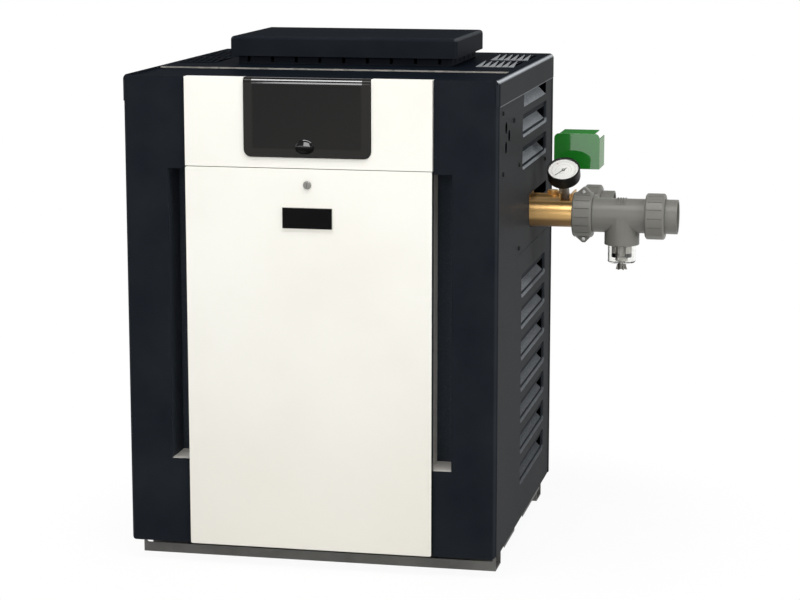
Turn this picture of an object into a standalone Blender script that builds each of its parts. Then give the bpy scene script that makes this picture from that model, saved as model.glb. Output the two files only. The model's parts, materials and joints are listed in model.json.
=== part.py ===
# Gas pool heater: louvred sheet-metal cabinet, vent hood, flip-up control cover, water header,
# union fittings, anode tee, pressure gauge and the heating parts inside.
# Metres, +Z up. The cabinet frame has x = 0 on the cabinet's centre line, y = 0 on the front of
# the cheeks and z = 0 on the floor. The root empty then puts the origin under the middle of the
# whole object's box.

from math import cos, pi, radians, sin

import bmesh
import bpy
from mathutils import Matrix, Vector

# Cabinet
CABINET_W = 0.718
CABINET_D = 0.694
CABINET_TOP = 0.939
SKIN_BOTTOM = 0.038
SHEET = 0.0012
GAP = 0.0003
SEAT = 0.0004
HALF = CABINET_W / 2
SIDE_X = HALF - SHEET - GAP
CORNER_R = 0.010
SIDE_REAR = 0.690
SIDE_TOP = 0.925
CHEEK_IN = 0.2372
CHEEK_TOP = 0.9375
CAP_FLANGE_Z = 0.889
CAP_RIM_R = 0.009
DECK_Y = 0.198
DECK_DIP = 0.003
DECK_DIP_X = 0.345
CAP_FRONT = 0.002
CAP_NOTCH_Y = 0.0125
LIP_Z = 0.922

# Base
CHANNEL_HALF = 0.3496
CHANNEL_DEPTH = 0.058
CHANNEL_WALL = 0.002
FRONT_CHANNEL_Y = 0.052
REAR_CHANNEL_Y = 0.579
PAN_LOW = 0.0385
PAN_HIGH = 0.0400
PAN_HALF = 0.3555
PAN_FLANGE_Z = 0.029

# Pressed louvres on both side panels: a dished frame, a window in its floor and a vane behind it
LOUVRE_Y = (0.287, 0.609)
LOUVRE_H = 0.0460
LOUVRE_CORNER = 0.011
LOUVRE_DEPTH = 0.0036
LOUVRE_SLOPE = 0.0040
LOUVRE_BACKING = 0.0035
WINDOW_END = 0.0150
WINDOW_LOW = 0.0095
WINDOW_HIGH = 0.0120
VANE_RUN = 0.018
UPPER_LOUVRES = [0.7405, 0.8040]
LOWER_LOUVRES = [0.1080 + 0.0632 * i for i in range(7)]
TOP_WINDOW_Y = (0.301, 0.597)
TOP_WINDOW_Z = (0.8630, 0.9050)

# Finger slots beside the door
SLOT_OUT = 0.272
SLOT_Z = (0.204, 0.764)
POCKET_IN = 0.2302
POCKET_DEPTH = 0.075

# Openings of the side panels
KNOCKOUTS = [(0.0867, 0.8439), (0.1217, 0.8259), (0.0855, 0.8071)]
KNOCKOUT_R = 0.0111
ACCESS_Y = 0.238
ACCESS_Z = (0.579, 0.659)
HEADER_CUT_Y = (0.377, 0.612)
HEADER_CUT_TOP = 0.682
GAS_Y = 0.062
GAS_Z = 0.090
GAS_HOLE_R = 0.024
MANIFOLD_Z = 0.140

# Front
WHITE_HALF = 0.2357
WHITE_FRONT = -0.008
WHITE_BACK = 0.0118
DOOR_BACK = 0.011
DOOR_Z = (0.0394, 0.7692)
FASCIA_Z = (0.7705, 0.9375)
NOTCH_HALF = 0.1215
NOTCH_Z = 0.790
NOTCH_R = 0.014
LOCK_Z = 0.7395
LOCK_R = 0.006
SHELF_Z = 0.781
SHELF_FRONT = 0.0155
SHELF_REAR = 0.185

# Flip cover and control panel
HINGE_Y = -0.0005
HINGE_Z = 0.927
COVER_R = 0.011
COVER_T = 0.003
COVER_HALF = 0.1205
COVER_BOTTOM = 0.7912
GRIP_X = -0.0038
GRIP_Z = 0.8075
GRIP_HALF = 0.0183
GRIP_RISE = 0.0168
GRIP_DROP = 0.0108
GRIP_LIP = 0.004
PIN_R = 0.002
BEZEL_FRONT = 0.006
BEZEL_TOP = 0.918
KEY_NAMES = ["key_menu", "key_down", "key_up", "key_mode"]
KEY_PITCH = 0.040
KEY_Z = 0.835
KEY_SIZE = (0.022, 0.012)

# Vent
VENT_HOLE_X = 0.205
VENT_HOLE_Y = (0.305, 0.563)
COLLAR_X = 0.215
COLLAR_Y = (0.293, 0.575)
COLLAR_TOP = 0.9915
HOOD_X = 0.228
HOOD_Y = (0.283, 0.583)
HOOD_Z = (0.955, 0.994)
GRILLE_ROWS = [(0.300, 0.448), (0.477, 0.628)]
GRILLE_X = 0.264
GRILLE_PITCH = 0.0127
GRILLE_SLOT = 0.0075

# Water side: the near pipe is the outlet, the far one the inlet
OUT_Y = 0.406
IN_Y = 0.518
PIPE_Z = 0.641
STUB_R = 0.026
STUB_BORE = 0.021
WEB_TOP = 0.661
HEADER_X = (0.2945, 0.335)
HEADER_Y = (0.195, 0.595)
HEADER_Z = (0.603, 0.679)
CLAMP_X = (0.4437, 0.4827)
CLAMP_R = 0.04475
TEE_R = 0.03425
TEE_BORE = 0.026
BRANCH_X = 0.5404
BRANCH_R = 0.0349
BRANCH_BORE = 0.0288
BRANCH_BOTTOM = 0.5833
CAP_R = 0.0281
CAP_BOTTOM = 0.5469
WING_BOTTOM = 0.5329
NUT_R = 0.04585
THREAD_R = 0.038
TAIL_R = 0.0344
SOCKET_R = 0.03025
GROOVES = 16
OUT_NUT_X = (0.5878, 0.6264)
IN_NUT_X = (0.4526, 0.4863)
OUT_TAIL_END = 0.651
IN_TAIL_END = 0.5118

# Pressure gauge: its axis leans back from the viewer
GAUGE_AT = (0.421, 0.4121, 0.7281)
GAUGE_LEAN = 37.6
GAUGE_R = 0.033
GAUGE_BACK = -0.026
GAUGE_BOSS_TOP = -0.0775
GAUGE_RIBS = [(0.4095, 0.492), (0.4295, 0.530)]
GAUGE_RIB_T = 0.003
GAUGE_RIB_TOP = 0.675

# Green guard behind the gauge
GUARD_X = (0.3895, 0.482)
GUARD_Y = (0.497, 0.579)
GUARD_Z = (0.7205, 0.7925)
GUARD_T = 0.002
BRACKET_X = (0.400, 0.4165)
BRACKET_PAD = 0.6685
RELIEF_X = 0.386
RELIEF_TOP = 0.6745

# Heating parts
BURNERS = 8
BURNER_PITCH = 0.065
BURNER_FRONT = 0.089
CHAMBER_X = 0.285
CHAMBER_Y = (0.105, 0.585)
CHAMBER_WALL = 0.028
CHAMBER_Z = (0.165, 0.6196)
TUBES = 9
TUBE_PITCH = 0.043
TUBE_R = 0.0205

# Faces larger than this are plane sheet and are shaded flat
FLAT_AREA = 0.0006

FRONT_REACH = COVER_R - HINGE_Y + GRIP_LIP
ORIGIN_SHIFT = (-(OUT_TAIL_END - HALF) / 2, -(CABINET_D - FRONT_REACH) / 2, 0)

# Finish: base colour, roughness, metallic
FINISHES = {
    "black_powder_coat": ((0.012, 0.015, 0.019), 0.45, 0.0),
    "grey_powder_coat": ((0.050, 0.053, 0.055), 0.60, 0.0),
    "ivory_enamel": ((0.85, 0.84, 0.80), 0.35, 0.0),
    "galvanised": ((0.38, 0.37, 0.34), 0.45, 0.8),
    "base_grey": ((0.11, 0.107, 0.100), 0.60, 0.3),
    "smoked_plastic": ((0.028, 0.027, 0.025), 0.15, 0.0),
    "black_plastic": ((0.010, 0.010, 0.009), 0.40, 0.0),
    "key_grey": ((0.30, 0.31, 0.32), 0.50, 0.0),
    "display": ((0.22, 0.27, 0.20), 0.15, 0.0),
    "board_green": ((0.02, 0.12, 0.05), 0.50, 0.0),
    "lamination_steel": ((0.20, 0.20, 0.21), 0.50, 0.7),
    "steel": ((0.60, 0.60, 0.60), 0.30, 1.0),
    "refractory": ((0.72, 0.69, 0.62), 0.90, 0.0),
    "copper": ((0.72, 0.36, 0.20), 0.35, 1.0),
    "bronze": ((0.62, 0.38, 0.13), 0.30, 1.0),
    "grey_pvc": ((0.20, 0.197, 0.180), 0.45, 0.0),
    "clear_plastic": ((0.80, 0.80, 0.78), 0.10, 0.0),
    "zinc": ((0.45, 0.45, 0.44), 0.55, 0.8),
    "dark_metal": ((0.03, 0.03, 0.03), 0.45, 0.8),
    "rubber": ((0.015, 0.015, 0.015), 0.80, 0.0),
    "dial_white": ((0.90, 0.89, 0.86), 0.50, 0.0),
    "needle_black": ((0.012, 0.012, 0.012), 0.50, 0.0),
    "glass": ((0.85, 0.88, 0.88), 0.05, 0.0),
    "green_plastic": ((0.05, 0.33, 0.06), 0.10, 0.0),
    "red_plastic": ((0.55, 0.03, 0.02), 0.40, 0.0),
}


# Modelling helpers

def arc(cx, cy, r, start, end, steps):
    span = end - start
    angles = [radians(start + span * i / steps) for i in range(steps + 1)]
    return [(cx + r * cos(a), cy + r * sin(a)) for a in angles]


def circle(cx, cy, r, steps):
    return arc(cx, cy, r, 0, 360, steps)[:-1]


def rounded_rect(x0, y0, x1, y1, r, steps=3):
    return (arc(x1 - r, y0 + r, r, -90, 0, steps) + arc(x1 - r, y1 - r, r, 0, 90, steps)
            + arc(x0 + r, y1 - r, r, 90, 180, steps) + arc(x0 + r, y0 + r, r, 180, 270, steps))


def mirrored_outline(right_half):
    return right_half + [(-u, v) for u, v in reversed(right_half)]


def lifted(axis, u, v, w):
    return {"x": (w, u, v), "y": (u, w, v), "z": (u, v, w)}[axis]


def add_prism(bm, outline, axis, low, high, turn=None):
    bottom = [bm.verts.new(lifted(axis, u, v, low)) for u, v in outline]
    top = [bm.verts.new(lifted(axis, u, v, high)) for u, v in outline]
    bm.faces.new(bottom)
    bm.faces.new(top)
    for i in range(len(outline)):
        j = (i + 1) % len(outline)
        bm.faces.new((bottom[i], bottom[j], top[j], top[i]))
    if turn:
        bmesh.ops.transform(bm, matrix=turn, verts=bottom + top)


def add_box(bm, low, high, turn=None):
    outline = [(low[0], low[1]), (high[0], low[1]), (high[0], high[1]), (low[0], high[1])]
    add_prism(bm, outline, "z", low[2], high[2], turn)


def add_loft(bm, near_x, near, far_x, far):
    # two outlines of y and z with equally many points, at two depths
    near_ring = [bm.verts.new((near_x, y, z)) for y, z in near]
    far_ring = [bm.verts.new((far_x, y, z)) for y, z in far]
    bm.faces.new(near_ring)
    bm.faces.new(far_ring)
    for i in range(len(near)):
        j = (i + 1) % len(near)
        bm.faces.new((near_ring[i], near_ring[j], far_ring[j], far_ring[i]))


def add_lathe(bm, profile, steps, frame):
    # profile holds (radius, height); it is a closed loop unless it starts and ends on the axis
    first = len(bm.verts)
    verts = [bm.verts.new(frame @ Vector((r, 0, h))) for r, h in profile]
    edges = [bm.edges.new(pair) for pair in zip(verts, verts[1:])]
    if profile[0][0] > 0:
        edges.append(bm.edges.new((verts[-1], verts[0])))
    axis = frame.to_3x3() @ Vector((0, 0, 1))
    bmesh.ops.spin(bm, geom=verts + edges, cent=frame.translation, axis=axis, angle=2 * pi,
                   steps=steps, use_merge=True)
    bm.verts.ensure_lookup_table()
    bmesh.ops.remove_doubles(bm, verts=bm.verts[first:], dist=1e-6)


def along_x(y, z):
    return Matrix.Translation((0, y, z)) @ Matrix.Rotation(pi / 2, 4, "Y")


def along_z(x, y):
    return Matrix.Translation((x, y, 0))


def facing_front(x, y, z):
    # local +Z points to the viewer in front
    return Matrix.Translation((x, y, z)) @ Matrix.Rotation(pi / 2, 4, "X")


def solid(name, bm):
    bmesh.ops.recalc_face_normals(bm, faces=bm.faces)
    mesh = bpy.data.meshes.new(name)
    bm.to_mesh(mesh)
    bm.free()
    obj = bpy.data.objects.new(name, mesh)
    bpy.context.collection.objects.link(obj)
    obj.parent = root
    return obj


def take_modifiers(obj):
    bpy.context.view_layer.update()
    graph = bpy.context.evaluated_depsgraph_get()
    result = bpy.data.meshes.new_from_object(obj.evaluated_get(graph))
    obj.modifiers.clear()
    old = obj.data
    obj.data = result
    bpy.data.meshes.remove(old)


def combine(obj, bm, operation):
    tool = solid("tool", bm)
    change = obj.modifiers.new(operation, "BOOLEAN")
    change.operation = operation
    change.object = tool
    take_modifiers(obj)
    mesh = tool.data
    bpy.data.objects.remove(tool)
    bpy.data.meshes.remove(mesh)


def carve(obj, bm):
    combine(obj, bm, "DIFFERENCE")


def fuse(obj, bm):
    combine(obj, bm, "UNION")


def finish(obj, look, pivot=None, sharp=35):
    name = obj.name
    colour, roughness, metallic = FINISHES[look]
    material = bpy.data.materials.new(name + "_" + look)
    material.use_nodes = True
    shader = material.node_tree.nodes["Principled BSDF"]
    shader.inputs["Base Color"].default_value = (*colour, 1)
    shader.inputs["Roughness"].default_value = roughness
    shader.inputs["Metallic"].default_value = metallic
    mesh = obj.data
    mesh.name = name
    mesh.materials.clear()
    mesh.materials.append(material)
    mesh.shade_smooth()
    mesh.set_sharp_from_angle(angle=radians(sharp))
    for face in mesh.polygons:
        face.use_smooth = face.area < FLAT_AREA
    if pivot:
        mesh.transform(Matrix.Translation(-Vector(pivot)))
        obj.location = pivot
    return obj


def mirror_copy(obj, name):
    bm = bmesh.new()
    bm.from_mesh(obj.data)
    bmesh.ops.scale(bm, vec=(-1, 1, 1), verts=bm.verts)
    return solid(name, bm)


# Cabinet

def side_outline():
    cx = SIDE_X - CORNER_R
    outer = [(SIDE_X, SIDE_REAR)] + arc(cx, CORNER_R, CORNER_R, 0, -90, 5) + [(CHEEK_IN, 0)]
    inner = [(CHEEK_IN, SHEET)] + arc(cx, CORNER_R, CORNER_R - SHEET, -90, 0, 5)
    return outer + inner + [(SIDE_X - SHEET, SIDE_REAR)]


def louvre_ring(z, inset):
    return rounded_rect(LOUVRE_Y[0] + inset, z + inset, LOUVRE_Y[1] - inset, z + LOUVRE_H - inset,
                        LOUVRE_CORNER - inset)


def add_vane(bm, face_x, low, y0, y1):
    # bent inwards and up from the lower edge of a window
    foot = Vector((face_x - 0.0002, low - 0.0004))
    run = Vector((-VANE_RUN, VANE_RUN))
    back = Vector((-1, -1)).normalized() * SHEET
    corners = [foot, foot + run, foot + run + back, foot + back]
    add_prism(bm, [tuple(c) for c in corners], "y", y0 + 0.0006, y1 - 0.0006)


def add_louvre(z, dishes, backs, windows, vanes):
    floor = SIDE_X - LOUVRE_DEPTH
    add_loft(backs, SIDE_X - SHEET / 2, louvre_ring(z, -LOUVRE_BACKING),
             floor - SHEET, louvre_ring(z, LOUVRE_SLOPE - LOUVRE_BACKING / 2))
    rise = LOUVRE_DEPTH / LOUVRE_SLOPE * 0.001
    add_loft(dishes, SIDE_X + rise, louvre_ring(z, -0.001), floor, louvre_ring(z, LOUVRE_SLOPE))
    y0 = LOUVRE_Y[0] + WINDOW_END
    y1 = LOUVRE_Y[1] - WINDOW_END
    add_box(windows, (0.34, y0, z + WINDOW_LOW), (0.38, y1, z + LOUVRE_H - WINDOW_HIGH))
    add_vane(vanes, floor, z + WINDOW_LOW, y0, y1)


def build_side_panels():
    bm = bmesh.new()
    add_prism(bm, side_outline(), "z", SKIN_BOTTOM, CHEEK_TOP)
    panel = solid("right_side_panel", bm)
    dishes = bmesh.new()
    backs = bmesh.new()
    windows = bmesh.new()
    vanes = bmesh.new()
    for z in UPPER_LOUVRES + LOWER_LOUVRES:
        add_louvre(z, dishes, backs, windows, vanes)
    add_box(windows, (0.34, TOP_WINDOW_Y[0], TOP_WINDOW_Z[0]), (0.38, TOP_WINDOW_Y[1], TOP_WINDOW_Z[1]))
    add_vane(vanes, SIDE_X, TOP_WINDOW_Z[0], *TOP_WINDOW_Y)
    fuse(panel, backs)
    carve(panel, dishes)
    carve(panel, windows)
    fuse(panel, vanes)
    cuts = bmesh.new()
    add_box(cuts, (0.20, 0.0016, SIDE_TOP), (0.40, 0.80, 1.0))
    add_box(cuts, (0.20, -0.01, SLOT_Z[0]), (SLOT_OUT, 0.01, SLOT_Z[1]))
    carve(panel, cuts)
    left = mirror_copy(panel, "left_side_panel")
    holes = bmesh.new()
    for y, z in KNOCKOUTS:
        add_prism(holes, circle(y, z, KNOCKOUT_R, 16), "x", 0.34, 0.38)
    add_box(holes, (0.34, ACCESS_Y - 0.0005, ACCESS_Z[0] - 0.0005), (0.38, 0.70, ACCESS_Z[1] + 0.0005))
    carve(panel, holes)
    header_cut = bmesh.new()
    add_box(header_cut, (0.34, HEADER_CUT_Y[0], ACCESS_Z[1] - 0.001),
            (0.38, HEADER_CUT_Y[1], HEADER_CUT_TOP))
    carve(panel, header_cut)
    gas_hole = bmesh.new()
    add_prism(gas_hole, circle(GAS_Y, GAS_Z, GAS_HOLE_R, 24), "x", -0.38, -0.34)
    carve(left, gas_hole)
    finish(panel, "grey_powder_coat")
    finish(left, "grey_powder_coat")


def build_header_access_panel():
    bm = bmesh.new()
    add_box(bm, (SIDE_X - 0.0015, ACCESS_Y, ACCESS_Z[0]), (SIDE_X, SIDE_REAR, ACCESS_Z[1]))
    panel = solid("header_access_panel", bm)
    backing = bmesh.new()
    add_box(backing, (SIDE_X - 0.0030, ACCESS_Y - 0.012, ACCESS_Z[0] - 0.012),
            (SIDE_X - 0.0015, SIDE_REAR, ACCESS_Z[1]))
    fuse(panel, backing)
    r = STUB_R + 0.0015
    notch = [(IN_Y + r, 0.70), (OUT_Y - r, 0.70)] + arc(OUT_Y, PIPE_Z, r, 180, 270, 8)
    notch += arc(IN_Y, PIPE_Z, r, 270, 360, 8)
    hole = bmesh.new()
    add_prism(hole, notch, "x", 0.34, 0.38)
    carve(panel, hole)
    finish(panel, "grey_powder_coat")


def build_rear_panel():
    r = 0.004
    outer = [(HALF, CABINET_D - 0.013)] + arc(HALF - r, CABINET_D - r, r, 0, 90, 3)
    inner = [(HALF - SHEET, CABINET_D - 0.013)] + arc(HALF - r, CABINET_D - r, r - SHEET, 0, 90, 3)
    outline = mirrored_outline(outer) + list(reversed(mirrored_outline(inner)))
    bm = bmesh.new()
    add_prism(bm, outline, "z", SKIN_BOTTOM, CAP_FLANGE_Z - 0.0005)
    finish(solid("rear_panel", bm), "grey_powder_coat")


def build_base():
    bm = bmesh.new()
    add_box(bm, (-PAN_HALF, 0.013, PAN_LOW), (PAN_HALF, SIDE_REAR, PAN_HIGH))
    pan = solid("base_pan", bm)
    flanges = bmesh.new()
    for side in (-1, 1):
        for y0, y1 in ((0.116, 0.241), (0.345, 0.573)):
            edges = sorted((side * PAN_HALF, side * (PAN_HALF - SHEET)))
            add_box(flanges, (edges[0], y0, PAN_FLANGE_Z), (edges[1], y1, PAN_HIGH - 0.0005))
    fuse(pan, flanges)
    finish(pan, "galvanised")
    for name, y in (("front_base_channel", FRONT_CHANNEL_Y), ("rear_base_channel", REAR_CHANNEL_Y)):
        top = PAN_LOW - GAP
        w = CHANNEL_WALL
        back = y + CHANNEL_DEPTH
        outline = [(y, 0), (back, 0), (back, top), (back - w, top), (back - w, w), (y + w, w),
                   (y + w, top), (y, top)]
        bm = bmesh.new()
        add_prism(bm, outline, "x", -CHANNEL_HALF, CHANNEL_HALF)
        channel = solid(name, bm)
        relief = bmesh.new()
        slot = rounded_rect(-CHANNEL_HALF + 0.006, 0.019, CHANNEL_HALF - 0.006, 0.030, 0.004)
        add_prism(relief, slot, "y", y - 0.01, y + 0.01)
        carve(channel, relief)
        finish(channel, "base_grey")


def cap_outline(dip):
    flat = HALF - CAP_RIM_R
    top = CABINET_TOP
    outer = [(HALF, CAP_FLANGE_Z)] + arc(flat, top - CAP_RIM_R, CAP_RIM_R, 0, 90, 5)
    inner = [(HALF - SHEET, CAP_FLANGE_Z)] + arc(flat, top - CAP_RIM_R, CAP_RIM_R - SHEET, 0, 90, 5)
    if dip:
        outer += [(DECK_DIP_X, top), (DECK_DIP_X, top - dip)]
        inner += [(DECK_DIP_X + SHEET, top - SHEET), (DECK_DIP_X + SHEET, top - dip - SHEET)]
    return mirrored_outline(outer) + list(reversed(mirrored_outline(inner)))


def wrap_cap_corners(cap):
    # the side flanges bend round the front corners, close to the cheeks
    top = CABINET_TOP - CAP_RIM_R - 0.0005
    ends = bmesh.new()
    wraps = bmesh.new()
    inner = CORNER_R + GAP
    cx = SIDE_X - CORNER_R
    outer_arc = arc(cx, CORNER_R, inner + SHEET, 0, -62, 4)
    inner_arc = arc(cx, CORNER_R, inner, -62, 0, 4)
    tail = CORNER_R + 0.004
    outline = [(HALF, tail)] + outer_arc + inner_arc + [(HALF - SHEET, tail)]
    for side in (-1, 1):
        low, high = sorted((side * (HALF - 0.003), side * (HALF + 0.003)))
        add_box(ends, (low, -0.01, CAP_FLANGE_Z - 0.01), (high, CORNER_R, top))
        add_prism(wraps, [(side * u, v) for u, v in outline], "z", CAP_FLANGE_Z, top)
    carve(cap, ends)
    fuse(cap, wraps)


def build_top_panel():
    bm = bmesh.new()
    add_prism(bm, cap_outline(0), "y", DECK_Y, CABINET_D)
    cap = solid("top_panel", bm)
    front = bmesh.new()
    add_prism(front, cap_outline(DECK_DIP), "y", CAP_FRONT, DECK_Y + SHEET / 2)
    fuse(cap, front)
    flat = HALF - CAP_RIM_R
    closing = [(HALF, CAP_FLANGE_Z)] + arc(flat, CABINET_TOP - CAP_RIM_R, CAP_RIM_R, 0, 90, 5)
    rear = bmesh.new()
    add_prism(rear, mirrored_outline(closing), "y", CABINET_D - SHEET, CABINET_D)
    fuse(cap, rear)
    riser = bmesh.new()
    low = CABINET_TOP - DECK_DIP - SHEET
    add_box(riser, (-DECK_DIP_X - 0.0006, DECK_Y, low), (DECK_DIP_X + 0.0006, DECK_Y + SHEET, CABINET_TOP))
    fuse(cap, riser)
    cuts = bmesh.new()
    add_box(cuts, (-CHEEK_IN, -0.01, 0.90), (CHEEK_IN, CAP_NOTCH_Y, 0.96))
    add_box(cuts, (-VENT_HOLE_X, VENT_HOLE_Y[0], 0.92), (VENT_HOLE_X, VENT_HOLE_Y[1], 0.96))
    for y0, y1 in GRILLE_ROWS:
        for i in range(6):
            x0 = GRILLE_X + i * GRILLE_PITCH
            x1 = x0 + GRILLE_SLOT
            add_box(cuts, (x0, y0, 0.92), (x1, y1, 0.96))
            add_box(cuts, (-x1, y0, 0.92), (-x0, y1, 0.96))
    carve(cap, cuts)
    wrap_cap_corners(cap)
    lips = bmesh.new()
    lip_top = CABINET_TOP - DECK_DIP - SHEET / 2
    add_box(lips, (-CHEEK_IN, CAP_NOTCH_Y, LIP_Z), (CHEEK_IN, CAP_NOTCH_Y + SHEET, lip_top))
    for x0, x1 in ((-0.345, -CHEEK_IN - SHEET), (CHEEK_IN + SHEET, 0.345)):
        add_box(lips, (x0, CAP_FRONT, LIP_Z), (x1, CAP_FRONT + SHEET, lip_top))
    fuse(cap, lips)
    finish(cap, "black_powder_coat")


def build_vent():
    wall = 0.002
    bm = bmesh.new()
    add_prism(bm, rounded_rect(-COLLAR_X, COLLAR_Y[0], COLLAR_X, COLLAR_Y[1], 0.008), "z",
              CABINET_TOP + SEAT, COLLAR_TOP)
    collar = solid("vent_collar", bm)
    cuts = bmesh.new()
    add_prism(cuts, rounded_rect(-COLLAR_X + wall, COLLAR_Y[0] + wall, COLLAR_X - wall,
                                 COLLAR_Y[1] - wall, 0.006), "z", 0.93, 1.0)
    carve(collar, cuts)
    slots = bmesh.new()
    z0, z1 = CABINET_TOP + 0.004, COLLAR_TOP - 0.005
    for i in range(-4, 5):
        x = i * 0.048
        for y in COLLAR_Y:
            add_box(slots, (x - 0.003, y - 0.006, z0), (x + 0.003, y + 0.006, z1))
    mid = sum(COLLAR_Y) / 2
    for i in range(-2, 3):
        y = mid + i * 0.050
        for x in (-COLLAR_X, COLLAR_X):
            add_box(slots, (x - 0.006, y - 0.003, z0), (x + 0.006, y + 0.003, z1))
    carve(collar, slots)
    finish(collar, "black_powder_coat")

    bm = bmesh.new()
    add_box(bm, (-HOOD_X, HOOD_Y[0], HOOD_Z[0]), (HOOD_X, HOOD_Y[1], HOOD_Z[1]))
    bmesh.ops.recalc_face_normals(bm, faces=bm.faces)
    underside = [f for f in bm.faces if f.normal.z < -0.9]
    bmesh.ops.delete(bm, geom=underside, context="FACES_ONLY")
    folds = [e for e in bm.edges if len(e.link_faces) == 2]
    bmesh.ops.bevel(bm, geom=folds, offset=0.007, segments=3, profile=0.5, affect="EDGES")
    hood = solid("vent_hood", bm)
    thick = hood.modifiers.new("wall", "SOLIDIFY")
    thick.thickness = 0.0015
    thick.offset = -1
    take_modifiers(hood)
    finish(hood, "black_powder_coat")


# Front

def tray(name, outline, inset, back):
    bm = bmesh.new()
    add_prism(bm, outline, "y", WHITE_FRONT, back)
    shell = solid(name, bm)
    hollow = bmesh.new()
    add_prism(hollow, inset, "y", WHITE_FRONT + SHEET, back + 0.01)
    carve(shell, hollow)
    return shell


def fascia_outline(inset):
    half = WHITE_HALF - inset
    low, high = FASCIA_Z[0] + inset, FASCIA_Z[1] - inset
    notch = NOTCH_HALF + inset
    r = NOTCH_R + inset
    bottom = NOTCH_Z - inset
    corner = arc(notch - r, bottom + r, r, 0, -90, 4)
    return mirrored_outline([(half, low), (half, high), (notch, high)] + corner)


def build_front():
    corner = 0.003
    door_rect = (-WHITE_HALF, DOOR_Z[0], WHITE_HALF, DOOR_Z[1])
    inner_rect = (-WHITE_HALF + SHEET, DOOR_Z[0] + SHEET, WHITE_HALF - SHEET, DOOR_Z[1] - SHEET)
    door = tray("front_door", rounded_rect(*door_rect, corner), rounded_rect(*inner_rect, corner - SHEET),
                DOOR_BACK)
    hole = bmesh.new()
    add_prism(hole, circle(0, LOCK_Z, LOCK_R + SEAT, 24), "y", -0.02, 0.0)
    carve(door, hole)
    finish(door, "ivory_enamel", pivot=(0, WHITE_FRONT, DOOR_Z[0]))

    fascia = tray("upper_fascia", fascia_outline(0), fascia_outline(SHEET), WHITE_BACK)
    finish(fascia, "ivory_enamel")

    lock_axis = (0, WHITE_FRONT, LOCK_Z)
    bm = bmesh.new()
    barrel = [(0, -0.0248), (LOCK_R, -0.0248), (LOCK_R, SEAT), (0.0077, SEAT), (0.0077, 0.0026),
              (0.0064, 0.0040), (0, 0.0040)]
    add_lathe(bm, barrel, 20, facing_front(*lock_axis))
    lock = solid("door_lock", bm)
    slit = bmesh.new()
    add_box(slit, (-0.0007, -0.014, LOCK_Z - 0.0045), (0.0007, -0.0105, LOCK_Z + 0.0045))
    carve(lock, slit)
    finish(lock, "steel", pivot=lock_axis)
    bm = bmesh.new()
    tongue = arc(0, LOCK_Z, 0.0075, 0, 180, 6) + arc(0, LOCK_Z - 0.024, 0.0055, 180, 360, 6)
    add_prism(bm, tongue, "y", 0.0171, 0.0191)
    finish(solid("lock_cam", bm), "galvanised", pivot=lock_axis)


def build_slot_pockets():
    bm = bmesh.new()
    add_box(bm, (POCKET_IN - SHEET, SHEET + SEAT, SLOT_Z[0] - SHEET),
            (SLOT_OUT + 0.0005 + SHEET, POCKET_DEPTH + SHEET, SLOT_Z[1] + SHEET))
    pocket = solid("right_slot_pocket", bm)
    hollow = bmesh.new()
    add_box(hollow, (POCKET_IN, -0.01, SLOT_Z[0]), (SLOT_OUT + 0.0005, POCKET_DEPTH, SLOT_Z[1]))
    carve(pocket, hollow)
    door_way = bmesh.new()
    add_box(door_way, (0.20, -0.01, 0.15), (WHITE_HALF + 0.0008, DOOR_BACK + 0.0005, 0.80))
    carve(pocket, door_way)
    left = mirror_copy(pocket, "left_slot_pocket")
    finish(pocket, "black_powder_coat")
    finish(left, "black_powder_coat")


def build_control_shelf():
    y, z, s = SHELF_FRONT, SHELF_Z, SHEET
    outline = [(y, 0.7665), (y + s, 0.7665), (y + s, z - s), (SHELF_REAR, z - s), (SHELF_REAR, z + 0.020),
               (SHELF_REAR - s, z + 0.020), (SHELF_REAR - s, z), (y, z)]
    bm = bmesh.new()
    add_prism(bm, outline, "x", -PAN_HALF, PAN_HALF)
    shelf = solid("control_shelf", bm)
    tab = bmesh.new()
    add_box(tab, (-0.045, y, 0.722), (-0.018, y + s, 0.775))
    fuse(shelf, tab)
    finish(shelf, "galvanised")


# Flip cover and control panel

def half_ellipsoid(centre, radii, side, back):
    # upper (1) or lower (-1) half of an ellipsoid, cut off behind a vertical plane
    bm = bmesh.new()
    shape = Matrix.Translation(centre) @ Matrix.Diagonal((*radii, 1))
    bmesh.ops.create_uvsphere(bm, u_segments=22, v_segments=14, radius=1, matrix=shape)
    for point, normal in ((centre, (0, 0, -side)), ((0, back, 0), (0, 1, 0))):
        every = bm.verts[:] + bm.edges[:] + bm.faces[:]
        bmesh.ops.bisect_plane(bm, geom=every, dist=1e-7, plane_co=point, plane_no=normal, clear_outer=True)
        bmesh.ops.holes_fill(bm, edges=[e for e in bm.edges if e.is_boundary], sides=0)
    return bm


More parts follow.
